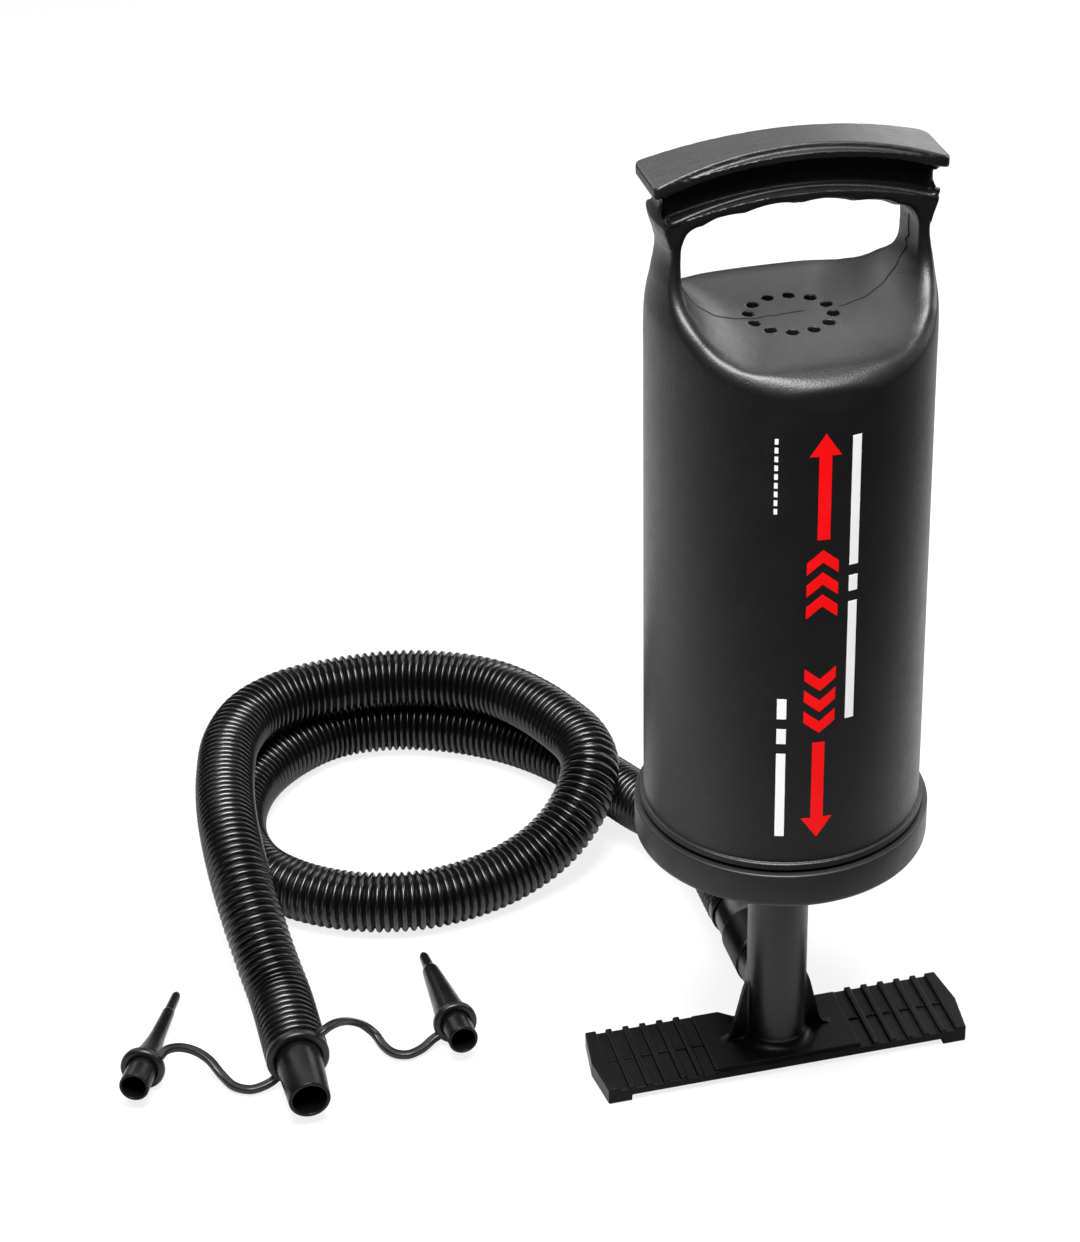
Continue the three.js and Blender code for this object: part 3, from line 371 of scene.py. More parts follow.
def ribbed_hose():
    """The hose with its ribs and bore, and the line along its middle."""
    centres = curve_through(HOSE_ROUTE, RIB_PITCH)
    ribs = len(centres) - 1
    whole = curve_through(HOSE_ROUTE, ROUTE_STEP)
    at_whole = np.linspace(0, 1, len(whole))
    shares, radii = [], []
    for i in range(ribs):
        for share, rise in RIB_SHAPE:
            shares.append((i + share) / ribs)
            radii.append(HOSE_ROOT + (HOSE_CREST - HOSE_ROOT) * rise)
    shares.append(1)
    radii.append(HOSE_ROOT)
    bore = list(range(ribs, -1, -BORE_STEP))
    if bore[-1]:
        bore.append(0)
    line = np.stack([np.interp(shares, at_whole, whole[:, k]) for k in range(3)], 1)
    outside = rings_on(line, radii, HOSE_SIDES)
    inner = rings_on(line, np.full(len(line), HOSE_BORE), HOSE_SIDES).reshape(-1, HOSE_SIDES, 3)
    picked = [int(round(i / ribs * (len(line) - 1))) for i in bore]
    inside = inner[picked].reshape(-1, 3)
    rings = len(line) + len(picked)
    obj = piece("hose_tube", np.vstack([outside, inside]), ring_faces(rings, HOSE_SIDES, closed=True),
                HOSE, "stand", "hose_plastic", sharp=80)
    return obj, centres


hose, hose_line = ribbed_hose()
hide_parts("hose")

# What is on the hose's far end
NOZZLE_AT = (-180, 0, 12.4)
nozzle = spun("hose_nozzle", [
    (6.5, 0, 0.3), (7.9, 0, 0.5), (8.45, 12, 0), (8.9, 24.1, 0.3), (8.9, 28.3, 0.3), (7.2, 28.3, 0.3),
    (7.2, 42, 0.4), (5.8, 42, 0.4), (5.8, 24.1, 0.4),
], 72, NOZZLE, "stand", "hose_plastic", NOZZLE_AT, AWAY)
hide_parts("nozzle")

MOUTH_LEFT, TIP_LEFT = (-242, 26.8, 10.7), (-218, 89, 2)
MOUTH_RIGHT, TIP_RIGHT = (-117.2, 21, 10.7), (-119, 89.2, 2)
ADAPTER_LENGTH = 68
SHOULDER = 15.9
SHOULDER_RADIUS = 6.8
SPIGOT_RADIUS = 5.7
ADAPTER_BORE = ((0.19, 1), (0.19, 0.88), (0.32, 0.54), (0.55, 0.41), (1, 0.2), (1, 0))
PLAIN_CONE = ((0.97, 0), (0.9, 0.03), (0.82, 0.08), (0.7, 0.15), (0.59, 0.23), (0.5, 0.31), (0.44, 0.4),
              (0.37, 0.62), (0.35, 0.73), (0.29, 0.75), (0.26, 0.97), (0.2, 1))
STEPPED_CONE = ((0.97, 0), (0.93, 0.05), (0.87, 0.15), (0.78, 0.28), (0.5, 0.73), (0.33, 0.8), (0.28, 0.96),
                (0.18, 1))


def adapter(name, cone, mouth, tip, node_name):
    """An adapter from its cone's (radius, height) shares, with its mouth and tip at two points."""
    reach = ADAPTER_LENGTH - SHOULDER
    outline = [(SPIGOT_RADIUS, 0, 0.35), (SPIGOT_RADIUS, SHOULDER, 0)]
    outline += [(SHOULDER_RADIUS * out, SHOULDER + reach * rise, 0.5) for out, rise in cone]
    outline += [((SPIGOT_RADIUS - 1) * out, ADAPTER_LENGTH * rise, 0.25) for out, rise in ADAPTER_BORE]
    obj = spun(name, outline, 48, NOZZLE, "stand", "hose_plastic", mouth, Vector(tip) - Vector(mouth), 3)
    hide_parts(node_name)
    return obj


adapter_left = adapter("adapter_cone", PLAIN_CONE, MOUTH_LEFT, TIP_LEFT, "adapter_plain")
adapter_right = adapter("adapter_stepped_cone", STEPPED_CONE, MOUTH_RIGHT, TIP_RIGHT, "adapter_stepped")

LEFT_STRAP = [
    [-187.9, 26.1, 4.9], [-190.4, 25.5, 3.4], [-194, 24.5, 2.6], [-199.1, 24, 2.4], [-204.8, 27.6, 2.5],
    [-208.6, 34, 4], [-212, 39.2, 7.4], [-216.6, 42.2, 10.4], [-222.3, 43.1, 12.7], [-227.6, 41.3, 13.9],
    [-231, 38.2, 13.3],
]
RIGHT_STRAP = [
    [-172.4, 26.1, 20], [-170, 26.4, 21.9], [-166.6, 29, 21.9], [-162.2, 34, 19],
    [-157, 39.4, 14], [-151.8, 42, 9], [-147.9, 40.4, 5.2], [-145.6, 35.2, 3], [-142.6, 30.6, 2.4],
    [-137.6, 28.3, 2.4], [-131.8, 30, 2.7], [-126.8, 33, 3.9], [-123.8, 34, 4.8],
]
STRAP_HALF_WIDTH = 1.6
STRAP_HALF_DEPTH = 1.4
STRAP_CORNER = 0.8


def strap(route):
    """A strap of rounded section along a route, closed at both ends."""
    line = curve_through(route, 1)
    section = rounded([(STRAP_HALF_WIDTH * u, STRAP_HALF_DEPTH * v, STRAP_CORNER)
                       for u, v in ((1, 1), (-1, 1), (-1, -1), (1, -1))], 3)
    ahead = unit(np.gradient(line, axis=0))
    side = unit(np.cross(ahead, UP))
    rise = np.cross(side, ahead)
    points = line[:, None] + side[:, None] * section[None, :, :1] + rise[:, None] * section[None, :, 1:]
    return points.reshape(-1, 3), capped_faces(len(line), len(section))


def combined(parts):
    """Several meshes of (points, faces) as one."""
    points, faces, start = [], [], 0
    for part_points, part_faces in parts:
        points.append(part_points)
        faces += [tuple(start + i for i in face) for face in part_faces]
        start += len(part_points)
    return np.vstack(points), faces


def ring_part(inner, outer, low, high, radius, origin, direction):
    """A round ring of the tether, between two heights along a direction."""
    outline = [(inner, low, 0.3), (outer, low, radius), (outer, high, radius), (inner, high, 0.3)]
    return spun_mesh(outline, 64, origin, direction, 4)


tether_parts = [ring_part(9.2, 12.1, 24.1, 28, 1.3, NOZZLE_AT, AWAY)]
tether_parts += [strap(LEFT_STRAP), strap(RIGHT_STRAP)]
for mouth, tip in ((MOUTH_LEFT, TIP_LEFT), (MOUTH_RIGHT, TIP_RIGHT)):
    tether_parts.append(ring_part(6, 8.5, 12, 15.6, 1.2, mouth, Vector(tip) - Vector(mouth)))
tether = piece("tether_moulding", *combined(tether_parts), RUBBER, "stand", "soft_rubber")
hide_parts("tether")

# Where the hose starts
PORT_AXIS = (0, 0, 30.5)
plug = spun("hose_plug_piece", [
    (5.8, 15, 0.3), (9.5, 15, 0.3), (9.5, 32.3, 0), (11, 32.3, 0.6), (11, 45, 0.6), (7.2, 45, 0.2),
    (7.2, 62, 0.4), (5.8, 62, 0.4),
], 72, HOSE, "stand", "hose_plastic", PORT_AXIS, AWAY)
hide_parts("hose_plug")
cuff = spun("hose_cuff_piece", [
    (7.5, 45.3, 0.2), (11.9, 45.3, 0.7), (11.9, 50, 0.7), (7.5, 50, 0.2),
], 72, HOSE, "stand", "hose_plastic", PORT_AXIS, AWAY)
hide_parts("hose_cuff")


# Shapes given by their distance, meshed on a grid
def outline_distance(u, v, corners):
    """Distance of points to a closed outline, negative inside it."""
    nearest = np.full(u.shape, 1e9)
    inside = np.zeros(u.shape, bool)
    for (u0, v0), (u1, v1) in zip(corners, np.roll(corners, -1, axis=0)):
        du, dv = u1 - u0, v1 - v0
        share = np.clip(((u - u0) * du + (v - v0) * dv) / (du * du + dv * dv + 1e-12), 0, 1)
        nearest = np.minimum(nearest, (u - u0 - share * du) ** 2 + (v - v0 - share * dv) ** 2)
        crosses = (v0 > v) != (v1 > v)
        with np.errstate(divide="ignore", invalid="ignore"):
            inside ^= crosses & (u < (v - v0) * du / (dv if dv else 1e-12) + u0)
    return np.where(inside, -1, 1) * np.sqrt(nearest)


class Drawn:
    """An outline's distance, kept on a fine table so that many points read it quickly."""

    def __init__(self, corners, low, high, step=0.25):
        self.low, self.step = np.array(low, float), step
        self.size = [int((h - l) / step) + 2 for l, h in zip(low, high)]
        u, v = np.meshgrid(*(l + step * np.arange(n) for l, n in zip(low, self.size)), indexing="ij")
        self.table = outline_distance(u, v, np.array(corners, float))

    def slope(self, u, v, reach=0.4):
        return ((self.at(u + reach, v) - self.at(u - reach, v)) / (2 * reach),
                (self.at(u, v + reach) - self.at(u, v - reach)) / (2 * reach))

    def at(self, u, v):
        """The distance at points, from the table's four nearest entries."""
        a = np.clip((u - self.low[0]) / self.step, 0, self.size[0] - 1.001)
        b = np.clip((v - self.low[1]) / self.step, 0, self.size[1] - 1.001)
        i, j = a.astype(int), b.astype(int)
        a, b = a - i, b - j
        t = self.table
        return ((t[i, j] * (1 - a) + t[i + 1, j] * a) * (1 - b)
                + (t[i, j + 1] * (1 - a) + t[i + 1, j + 1] * a) * b)


def both(a, b, radius):
    """Inside both shapes, with the edge where they meet rounded to the radius."""
    return (np.sqrt(np.maximum(a + radius, 0) ** 2 + np.maximum(b + radius, 0) ** 2)
            + np.minimum(np.maximum(a, b), -radius))


def either(a, b, radius):
    """Inside either shape, with a fillet of the radius between them."""
    return -both(-a, -b, radius)


def both_sloped(a, b, radius, cosine):
    """Like both, for two surfaces whose outward directions have this cosine between them."""
    up_a, up_b = a + radius, b + radius
    squared = up_a ** 2 + up_b ** 2 - 2 * cosine * up_a * up_b
    curved = np.sqrt(np.maximum(squared, 0) / (1 - cosine ** 2)) - radius
    return np.where(up_b < cosine * up_a, a, np.where(up_a < cosine * up_b, b, curved))


def between(value, low, high):
    return np.abs(value - (low + high) / 2) - (high - low) / 2


def slab(x, y, z, middle, half, radius):
    """A box with rounded edges, from its middle and half its sizes."""
    q = [np.abs(c - m) - h + radius for c, m, h in zip((x, y, z), middle, half)]
    outside = np.sqrt(sum(np.maximum(c, 0) ** 2 for c in q))
    return outside + np.minimum(np.maximum(np.maximum(q[0], q[1]), q[2]), 0) - radius


CORNERS = [(i, j, k) for i in (0, 1) for j in (0, 1) for k in (0, 1)]


def skin(shape, low, high, step):
    """The surface where shape(x, y, z) is nought: a point in each grid cell that it crosses."""
    cells = [int(math.ceil((h - l) / step / 4)) * 4 for l, h in zip(low, high)]
    axes = [l + step * np.arange(n + 1) for l, n in zip(low, cells)]
    coarse = shape(*np.meshgrid(*(a[::4] for a in axes), indexing="ij"))
    nearest = [np.clip((np.arange(n + 1) + 2) // 4, 0, n // 4) for n in cells]
    field = coarse[np.ix_(*nearest)]
    i, j, k = np.nonzero(np.abs(field) < 6 * step)
    field[i, j, k] = shape(axes[0][i], axes[1][j], axes[2][k])
    inside = field < 0
    total = sum(inside[a:cells[0] + a, b:cells[1] + b, c:cells[2] + c].astype(np.int8) for a, b, c in CORNERS)
    mixed = (total > 0) & (total < 8)
    number = np.full(cells, -1)
    number[mixed] = np.arange(mixed.sum())
    ci, cj, ck = np.nonzero(mixed)
    value = np.stack([field[ci + a, cj + b, ck + c] for a, b, c in CORNERS], 1)
    total, hits = np.zeros((len(ci), 3)), np.zeros(len(ci))
    for p in range(8):
        for q in range(p + 1, 8):
            step_to = np.subtract(CORNERS[q], CORNERS[p])
            if np.abs(step_to).sum() != 1:
                continue
            va, vb = value[:, p], value[:, q]
            crossed = (va < 0) != (vb < 0)
            share = np.where(crossed, va / np.where(crossed, va - vb, 1), 0)
            total += crossed[:, None] * (np.array(CORNERS[p]) + share[:, None] * step_to)
            hits += crossed
    points = (np.stack([ci, cj, ck], 1) + total / hits[:, None]) * step + np.array(low, float)
    faces = []
    for axis in range(3):
        a, b = (axis + 1) % 3, (axis + 2) % 3
        first, second = [slice(1, -1)] * 3, [slice(1, -1)] * 3
        first[axis], second[axis] = slice(0, -1), slice(1, None)
        one, two = inside[tuple(first)], inside[tuple(second)]
        at = list(np.nonzero(one != two))
        solid_first = one[tuple(at)]
        at[a], at[b] = at[a] + 1, at[b] + 1
        quad = []
        for back_a, back_b in ((1, 1), (0, 1), (0, 0), (1, 0)):
            cell = list(at)
            cell[a], cell[b] = at[a] - back_a, at[b] - back_b
            quad.append(number[tuple(cell)])
        quad = np.stack(quad, 1)
        quad[~solid_first] = quad[~solid_first][:, ::-1]
        faces.append(quad)
    return settled(shape, points, step), np.concatenate(faces)


def on_ring(edges, radius, height):
    for v in {v for e in edges for v in e.verts}:
        v.co.xy = v.co.xy.normalized() * radius
        v.co.z = height


def lengthened(shape, low, high, step, outer, inner):
    """A grid mesh whose open end is drawn on through (radius, height) rings outside and inside."""
    points, faces = skin(shape, low, high, step)
    work = bmesh.new()
    made = [work.verts.new(p) for p in points]
    for face in faces:
        work.faces.new([made[i] for i in face])
    rims = [], []
    for edge in work.edges:
        if edge.is_boundary:
            rims[edge.verts[0].co.xy.length < (outer[0][0] + inner[0][0]) / 2].append(edge)
    ends = []
    for edges, path in zip(rims, (outer, inner)):
        on_ring(edges, *path[0])
        ends += pulled(work, edges, path[1:])
    bmesh.ops.bridge_loops(work, edges=ends)
    return taken_from(work)


def pulled(work, edges, path):
    """Draws an open edge loop out through rings of (radius, height), and returns the last loop."""
    for radius, height in path:
        new = bmesh.ops.extrude_edge_only(work, edges=edges)["geom"]
        edges = [g for g in new if isinstance(g, bmesh.types.BMEdge)]
        on_ring(edges, radius, height)
        edges = [e for e in edges if e.is_boundary]
    return edges


def slope_of(shape, points, reach):
    """How fast the shape's value grows along X, Y and Z at each point."""
    return np.stack([
        shape(*(points + way * reach).T) - shape(*(points - way * reach).T) for way in np.eye(3)
    ], 1) / (2 * reach)


def settled(shape, points, step):
    """Moves each point onto the surface along its slope."""
    for _ in range(3):
        slope = slope_of(shape, points, 0.04)
        steep = np.maximum((slope ** 2).sum(1), 0.3)
        move = slope * (shape(*points.T) / steep)[:, None]
        size = np.linalg.norm(move, axis=1)[:, None]
        points = points - move * np.minimum(1, 0.4 * step / np.maximum(size, 1e-9))
    return points


def shaded(obj, shape, lowest, softer=None):
    """Takes the shading above a height from the shape itself, so that highlights are smooth."""
    mesh = obj.data
    points = np.empty(len(mesh.vertices) * 3)
    mesh.vertices.foreach_get("co", points)
    points = points.reshape(-1, 3) / MM
    reach = np.full(len(points), 0.3)
    if softer:
        reach += 0.8 * softer(*points.T)
    slope = slope_of(shape, points, reach[:, None])
    steep = np.linalg.norm(slope, axis=1)
    corner_points = np.empty(len(mesh.loops), int)
    mesh.loops.foreach_get("vertex_index", corner_points)
    normals = np.empty(len(mesh.loops) * 3)
    mesh.corner_normals.foreach_get("vector", normals)
    normals = normals.reshape(-1, 3)
    chosen = ((points[:, 2] > lowest) & (steep > 0.6))[corner_points]
    better = (slope / np.maximum(steep, 1e-6)[:, None])[corner_points]
    chosen &= (better * normals).sum(1) > 0.5
    normals[chosen] = better[chosen]
    mesh.normals_split_custom_set(normals.tolist())


def smooth_line(points):
    """A smooth outline through (u, v) points."""
    return curve_through([(u, v, 0) for u, v in points], 0.5)[:, :2]


# Barrel with its deck and handle
DECK_TOP = 308
HANDLE_RISE = 62.9
HANDLE_TOP = DECK_TOP + HANDLE_RISE
BARREL_TOP_RADIUS = 48.8
BARREL_BOTTOM_RADIUS = 49.7
BORE_RADIUS = 46.4
CEILING = 305.4
CEILING_RADIUS = 36
CONE_LOW = 290
# Below SKIN_LOW the wall is a plain taper, down to the bead above the cap
SKIN_LOW = 292
BEAD_TOP = 122
BARREL_LOW = 108
SHOULDER_SHARES = (
    (-0.127, 1.033), (-0.067, 0.998), (-0.044, 0.928), (-0.022, 0.857), (0.013, 0.742), (0.068, 0.597),
    (0.119, 0.515), (0.175, 0.399), (0.246, 0.297), (0.317, 0.245), (0.413, 0.222), (0.5, 0.222),
    (0.6, 0.227), (1.1, 0.227),
)
WAIST_SHARES = (
    (-0.2, 1), (-0.04, 1), (0.095, 0.992), (0.159, 0.98), (0.238, 0.962), (0.325, 0.945), (0.381, 0.932),
    (0.444, 0.922), (0.492, 0.924), (0.548, 0.939), (0.619, 0.967), (0.698, 0.975), (0.81, 0.963),
    (1, 0.963),
)
HOLE_SHARES = (
    (0, 0.2), (0, 0.347), (0.016, 0.521), (0.041, 0.638), (0.084, 0.744), (0.132, 0.829), (0.211, 0.911),
    (0.292, 0.97), (0.381, 0.995), (0.47, 1),
)
HOLE_HALF_WIDTH = 40.3
HOLE_CORNER = 7
# How much wider the hand hole grows towards the front and back, and how far out: height, growth, reach
HOLE_FLARE = np.array((
    (308, 12.1, 38), (309, 7.9, 35.8), (310.6, 6.7, 32.2), (313.3, 5.7, 27.7), (316.3, 4.3, 24),
    (321.2, 3.4, 17), (326.3, 1.5, 12.7), (331.9, 0.3, 11), (337.4, 0, 10.6),
))
# The rounding of the rim round the deck, by the cosine between the two surfaces that meet there
RIM_COSINES = (0, 0.2, 0.6, 0.8, 0.93)
RIM_RADII = (2, 3.2, 6, 11, 25)
HANDLE_ARC = 151
HANDLE_TILT = 0.0125
FLANGE_HALF_LENGTH = 49.8
FLANGE_WAIST = 8.1
FLANGE_GROWTH = 0.0018
FLANGE_THICKNESS = 4.3
RAIL_DROP = 15.5
RAIL_INSET = 0.9
RAIL_CHAMFER = 2.4
HANDLE_DROP = 22
WEB_HALF_WIDTH = 4.5
POCKET_HALF_LENGTH = 45.6
GRIP_PITCH = 19.2
GRIP_DEPTH = 1
GRIP_ARC = 46
HOLE_CIRCLE = 14.2
HOLE_RADIUS = 2
HOLE_COUNT = 12


def handle_drop(x):
    """How far the handle's bar lies below its highest line; its left end is a little higher."""
    return HANDLE_ARC - np.sqrt(HANDLE_ARC ** 2 - np.minimum(x * x, 3600)) + HANDLE_TILT * x


def flange_width(x):
    """Half the width of the handle's top, which grows towards its ends."""
    return FLANGE_WAIST + FLANGE_GROWTH * x * x


def underside(x):
    """The handle's underside with its four shallow finger grooves, without the tilt."""
    arc = HANDLE_ARC - HANDLE_DROP
    nearest = min(abs(x - GRIP_PITCH * share) for share in (0.5, 1.5))
    groove = GRIP_DEPTH - nearest ** 2 / 2 / GRIP_ARC
    fade = min(max((34 - x) / 5, 0), 1)
    return HANDLE_TOP - HANDLE_ARC + math.sqrt(arc ** 2 - x * x) + fade * groove


def above_deck(shares, width):
    """A smooth outline from shares of the handle's rise and of a width."""
    return smooth_line([(width * out, DECK_TOP + HANDLE_RISE * rise) for rise, out in shares])


waist = above_deck(WAIST_SHARES, BARREL_TOP_RADIUS)
side_line = above_deck(SHOULDER_SHARES, BARREL_TOP_RADIUS)
side_view = Drawn([(-5, 280), (62, 280), *side_line, (-5, side_line[-1][1])], (-2, 285), (60, 378))
hole_line = above_deck(HOLE_SHARES, HOLE_HALF_WIDTH)
hole_top = hole_line[-1][1]
corner_angles = np.linspace(0, math.pi / 2, 12)
corner_middle = HOLE_HALF_WIDTH - HOLE_CORNER
hole_corner = [(corner_middle + HOLE_CORNER * math.cos(a), hole_top + HOLE_CORNER * math.sin(a))
               for a in corner_angles]
hole_roof = [(x, underside(x)) for x in np.arange(corner_middle - 0.8, -0.1, -0.8)]
hole_view = Drawn([(-5, DECK_TOP), *hole_line, *hole_corner[1:], *hole_roof, (-5, hole_roof[-1][1])],
                  (-4, 285), (60, 378))
cavity = Drawn([
    (-9, 270), (BORE_RADIUS, 270), (BORE_RADIUS, CONE_LOW), (CEILING_RADIUS, CEILING), (-9, CEILING),
], (-2, 285), (60, 378))
flange_side = [(x, flange_width(x), 0) for x in range(-42, 43, 6)]
flange_plan = Drawn(rounded([
    (-FLANGE_HALF_LENGTH, -5, 0), (-FLANGE_HALF_LENGTH, flange_width(FLANGE_HALF_LENGTH), 1.6), *flange_side,
    (FLANGE_HALF_LENGTH, flange_width(FLANGE_HALF_LENGTH), 3.5), (FLANGE_HALF_LENGTH, -5, 0),
]), (-58, -4), (58, 22))


def handle_bar(x, y, z):
    """The bar's flange, its web and its rail; the hand hole then shapes the rail's underside."""
    flat = z + handle_drop(x)
    plan = flange_plan.at(x, np.abs(y))
    flange = both(plan, between(flat, HANDLE_TOP - FLANGE_THICKNESS, HANDLE_TOP), 0.9)
    web = slab(x, y, flat, (0, 0, HANDLE_TOP - 9), (46, WEB_HALF_WIDTH, 8), 0.5)
    rail = both(plan + RAIL_INSET, between(flat, HANDLE_TOP - HANDLE_DROP - 2, HANDLE_TOP - RAIL_DROP), 0.5)
    rail = np.maximum(rail, np.hypot(x, y) - np.interp(z, waist[:, 1], waist[:, 0]) + 0.1)
    return either(flange, either(web, rail, 0.8), 0.8)


def pocket(x, y, z):
    """The long recess along each side of the bar, between its flange and its rail."""
    flat = z + handle_drop(x)
    upright = between(flat, HANDLE_TOP - RAIL_DROP, HANDLE_TOP - FLANGE_THICKNESS)
    opening = both(np.abs(x) - POCKET_HALF_LENGTH, upright, 1.5)
    return both(opening, WEB_HALF_WIDTH - np.abs(y), 2.5)


def barrel_top(x, y, z):
    """The barrel's shoulder, deck, posts and handle, with the hand hole, bore and intake holes."""
    radius = np.hypot(x, y)
    outer = radius - np.interp(z, waist[:, 1], waist[:, 0])
    rim = np.interp(z, (306, 312, 320, 330), (4.5, 3.5, 2, 1.2))
    body = both(outer, side_view.at(np.abs(y), z), rim)
    flat = z + handle_drop(x)
    body = np.maximum(body, flat - (HANDLE_TOP - 2))
    above_rail = (flat - HANDLE_TOP + RAIL_DROP) / (RAIL_DROP - FLANGE_THICKNESS)
    body = np.maximum(body, outer + 1.6 * np.sin(np.clip(above_rail, 0, 1) * math.pi) ** 2)
    body = np.maximum(body, -pocket(x, y, z))
    body = either(body, handle_bar(x, y, z), 1.2)
    growth, reach = (np.interp(z, HOLE_FLARE[:, 0], HOLE_FLARE[:, k]) for k in (1, 2))
    flared = np.abs(x) - growth * np.minimum(np.abs(y) / reach, 1) ** 2
    tilted = z + HANDLE_TILT * x * np.clip((z - 322) / 20, 0, 1)
    outward = np.clip((np.abs(y) - 4) / (flange_width(x) - RAIL_INSET - 4), 0, 1)
    tilted = tilted - RAIL_CHAMFER * outward * np.clip((z - 337) / 8, 0, 1)
    side_slope = side_view.slope(np.abs(y), z)
    hole_slope = hole_view.slope(flared, tilted)
    cosine = np.where(z < 338, -side_slope[1] * hole_slope[1], 0)
    cosine = np.clip(cosine + side_slope[0] * hole_slope[0] * 2 * growth * np.abs(y) / reach ** 2, 0, 0.95)
    soft = np.where(z < 340, np.interp(cosine, RIM_COSINES, RIM_RADII), np.interp(z, (340, 345), (2, 2.2)))
    body = both_sloped(body, -hole_view.at(flared, tilted), soft, cosine)
    body = np.maximum(body, -cavity.at(radius, z))
    angle = np.arctan2(y, x)
    step = math.tau / HOLE_COUNT
    nearest = (np.floor(angle / step) + 0.5) * step
    hole = np.hypot(x - HOLE_CIRCLE * np.cos(nearest), y - HOLE_CIRCLE * np.sin(nearest)) - HOLE_RADIUS
    return np.where(z < 320, both(body, -hole, 0.35), body)


def barrel():
    """The whole barrel: its top on a grid, drawn down in rings outside and inside."""
    step = 0.78
    bottom = BARREL_BOTTOM_RADIUS
    bead = rounded([
        (bottom - 0.05, BEAD_TOP, 0), (bottom - 0.02, 120.7, 0.3), (50.9, 120.5, 0.9), (51, 118, 0.9),
        (bottom, 118, 0), (bottom, 112.4, 0), (50.3, 111.9, 0), (bottom, 111.3, 0),
        (bottom, BARREL_LOW, 0.4), (48, BARREL_LOW, 0), (48, BEAD_TOP, 0),
    ], 4)
    heights = [SKIN_LOW + (BEAD_TOP - SKIN_LOW) * share for share in (0, 0.1, 0.3, 0.5, 0.7, 0.9)]
    outside = [(barrel_radius(z), z) for z in heights] + [tuple(p) for p in bead[:-1]]
    inside = [(cone_radius(SKIN_LOW), SKIN_LOW)] + [(BORE_RADIUS, z) for z in (CONE_LOW, 200, BARREL_LOW)]
    low, high = (-54, -52.2, SKIN_LOW - step / 2), (54, 52.2, 373)
    points, faces = lengthened(barrel_top, low, high, step, outside, inside)
    return piece("barrel_with_handle", points, faces, SHELL, "barrel", "shell_plastic", sharp=50)


def cone_radius(z):
    """The bore's radius where it narrows to its ceiling."""
    return BORE_RADIUS + (CEILING_RADIUS - BORE_RADIUS) * (z - CONE_LOW) / (CEILING - CONE_LOW)


def barrel_radius(z):
    """The outer radius of the plain wall."""
    share = (SKIN_LOW - z) / (SKIN_LOW - BEAD_TOP)
    return BARREL_TOP_RADIUS + (BARREL_BOTTOM_RADIUS - BARREL_TOP_RADIUS) * share


def barrel_skin(x, y, z):
    """The barrel's top above SKIN_LOW, and its plain tapered wall below."""
    return np.where(z < SKIN_LOW + 1, np.hypot(x, y) - barrel_radius(z), barrel_top(x, y, z))


def softness(x, y, z):
    """Where the shading is taken from further round: everywhere but the handle."""
    return np.clip((np.hypot(x, y) - 18) / 12, 0, 1) * np.clip((330 - z) / 8, 0, 1)


shell = barrel()
shaded(shell, barrel_skin, BEAD_TOP + 3, softness)
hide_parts("barrel_shell")


# The thin bead along the handle's rail, which curls up at both ends in front
BEAD_HEIGHT = 355.5
LEFT_CURL = ((-45.3, 358.4), (-45.2, 357.3), (-44.6, 356.3), (-43.3, 355.7), (-41.5, BEAD_HEIGHT))
RIGHT_CURL = ((41.5, BEAD_HEIGHT), (43.6, 355.8), (44.9, 356.5), (45.4, 357.6), (45.5, 358.8))


def bead_line(side):
    """The bead's route, in front for side -1 and at the back for side 1."""
    left, right = (LEFT_CURL, RIGHT_CURL) if side < 0 else ([(-42, BEAD_HEIGHT)], [(42, BEAD_HEIGHT)])
    flat = [*left, *((x, BEAD_HEIGHT) for x in range(-36, 40, 6)), *right]
    return [(x, side * (float(flange_width(min(abs(x), 44))) - RAIL_INSET + 0.1), z - float(handle_drop(x)))
            for x, z in flat]


def tube(route, radius, spacing=0.7, sides=10):
    """A round tube along a route, closed at both ends."""
    line = curve_through(route, spacing)
    return rings_on(line, np.full(len(line), radius), sides), capped_faces(len(line), sides)


for side, name in ((-1, "rail_bead_front"), (1, "rail_bead_back")):
    piece(name, *tube(bead_line(side), 0.9, sides=14), SHELL, "barrel", "shell_plastic")


# The mould's parting line across the deck and up the right post
def on_hole_line(x_from, x_to):
    """Points along the hand hole's outline, between two distances from its middle."""
    across = np.vstack([[(0, DECK_TOP)], hole_line[hole_line[:, 0] > 9], hole_corner[1:5]])
    travelled = travel(across)
    at = np.linspace(abs(x_from), abs(x_to), 2 + int(abs(x_to - x_from) / 2))
    way = 1 if max(x_from, x_to) > 0 else -1
    wave = 0.25 * np.sin(at * 0.9) + 0.2 * np.sin(at * 0.37)
    wave += np.where(np.abs(at - 49) < 5, 0.9 * np.sin(at * 1.9), 0)
    return [(way * np.interp(a, travelled, across[:, 0]), w, np.interp(a, travelled, across[:, 1]))
            for a, w in zip(at, wave)]


seams = [tube(on_hole_line(-44, -5) + [(0, 0.4, DECK_TOP), (5, 0.6, DECK_TOP)], 0.22, 0.5, 8),
         tube(on_hole_line(17, 60), 0.22, 0.5, 8)]
piece("parting_line", *combined(seams), SEAM, "barrel", "shell_plastic")

# Cap, rod and foot
cap = spun("cap_skirt", [
    (12.2, 103, 0.5), (53, 103, 2.6), (53, 117, 0.8), (50, 117, 0.5), (50, 106.1, 0.3), (18.5, 106.1, 0.3),
    (18.5, 109.6, 0.4), (15.2, 109.6, 0.3), (15.2, 105, 0.2), (12.2, 105, 0.2),
], 160, CAP, "barrel", "cap_plastic")
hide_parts("bottom_cap")


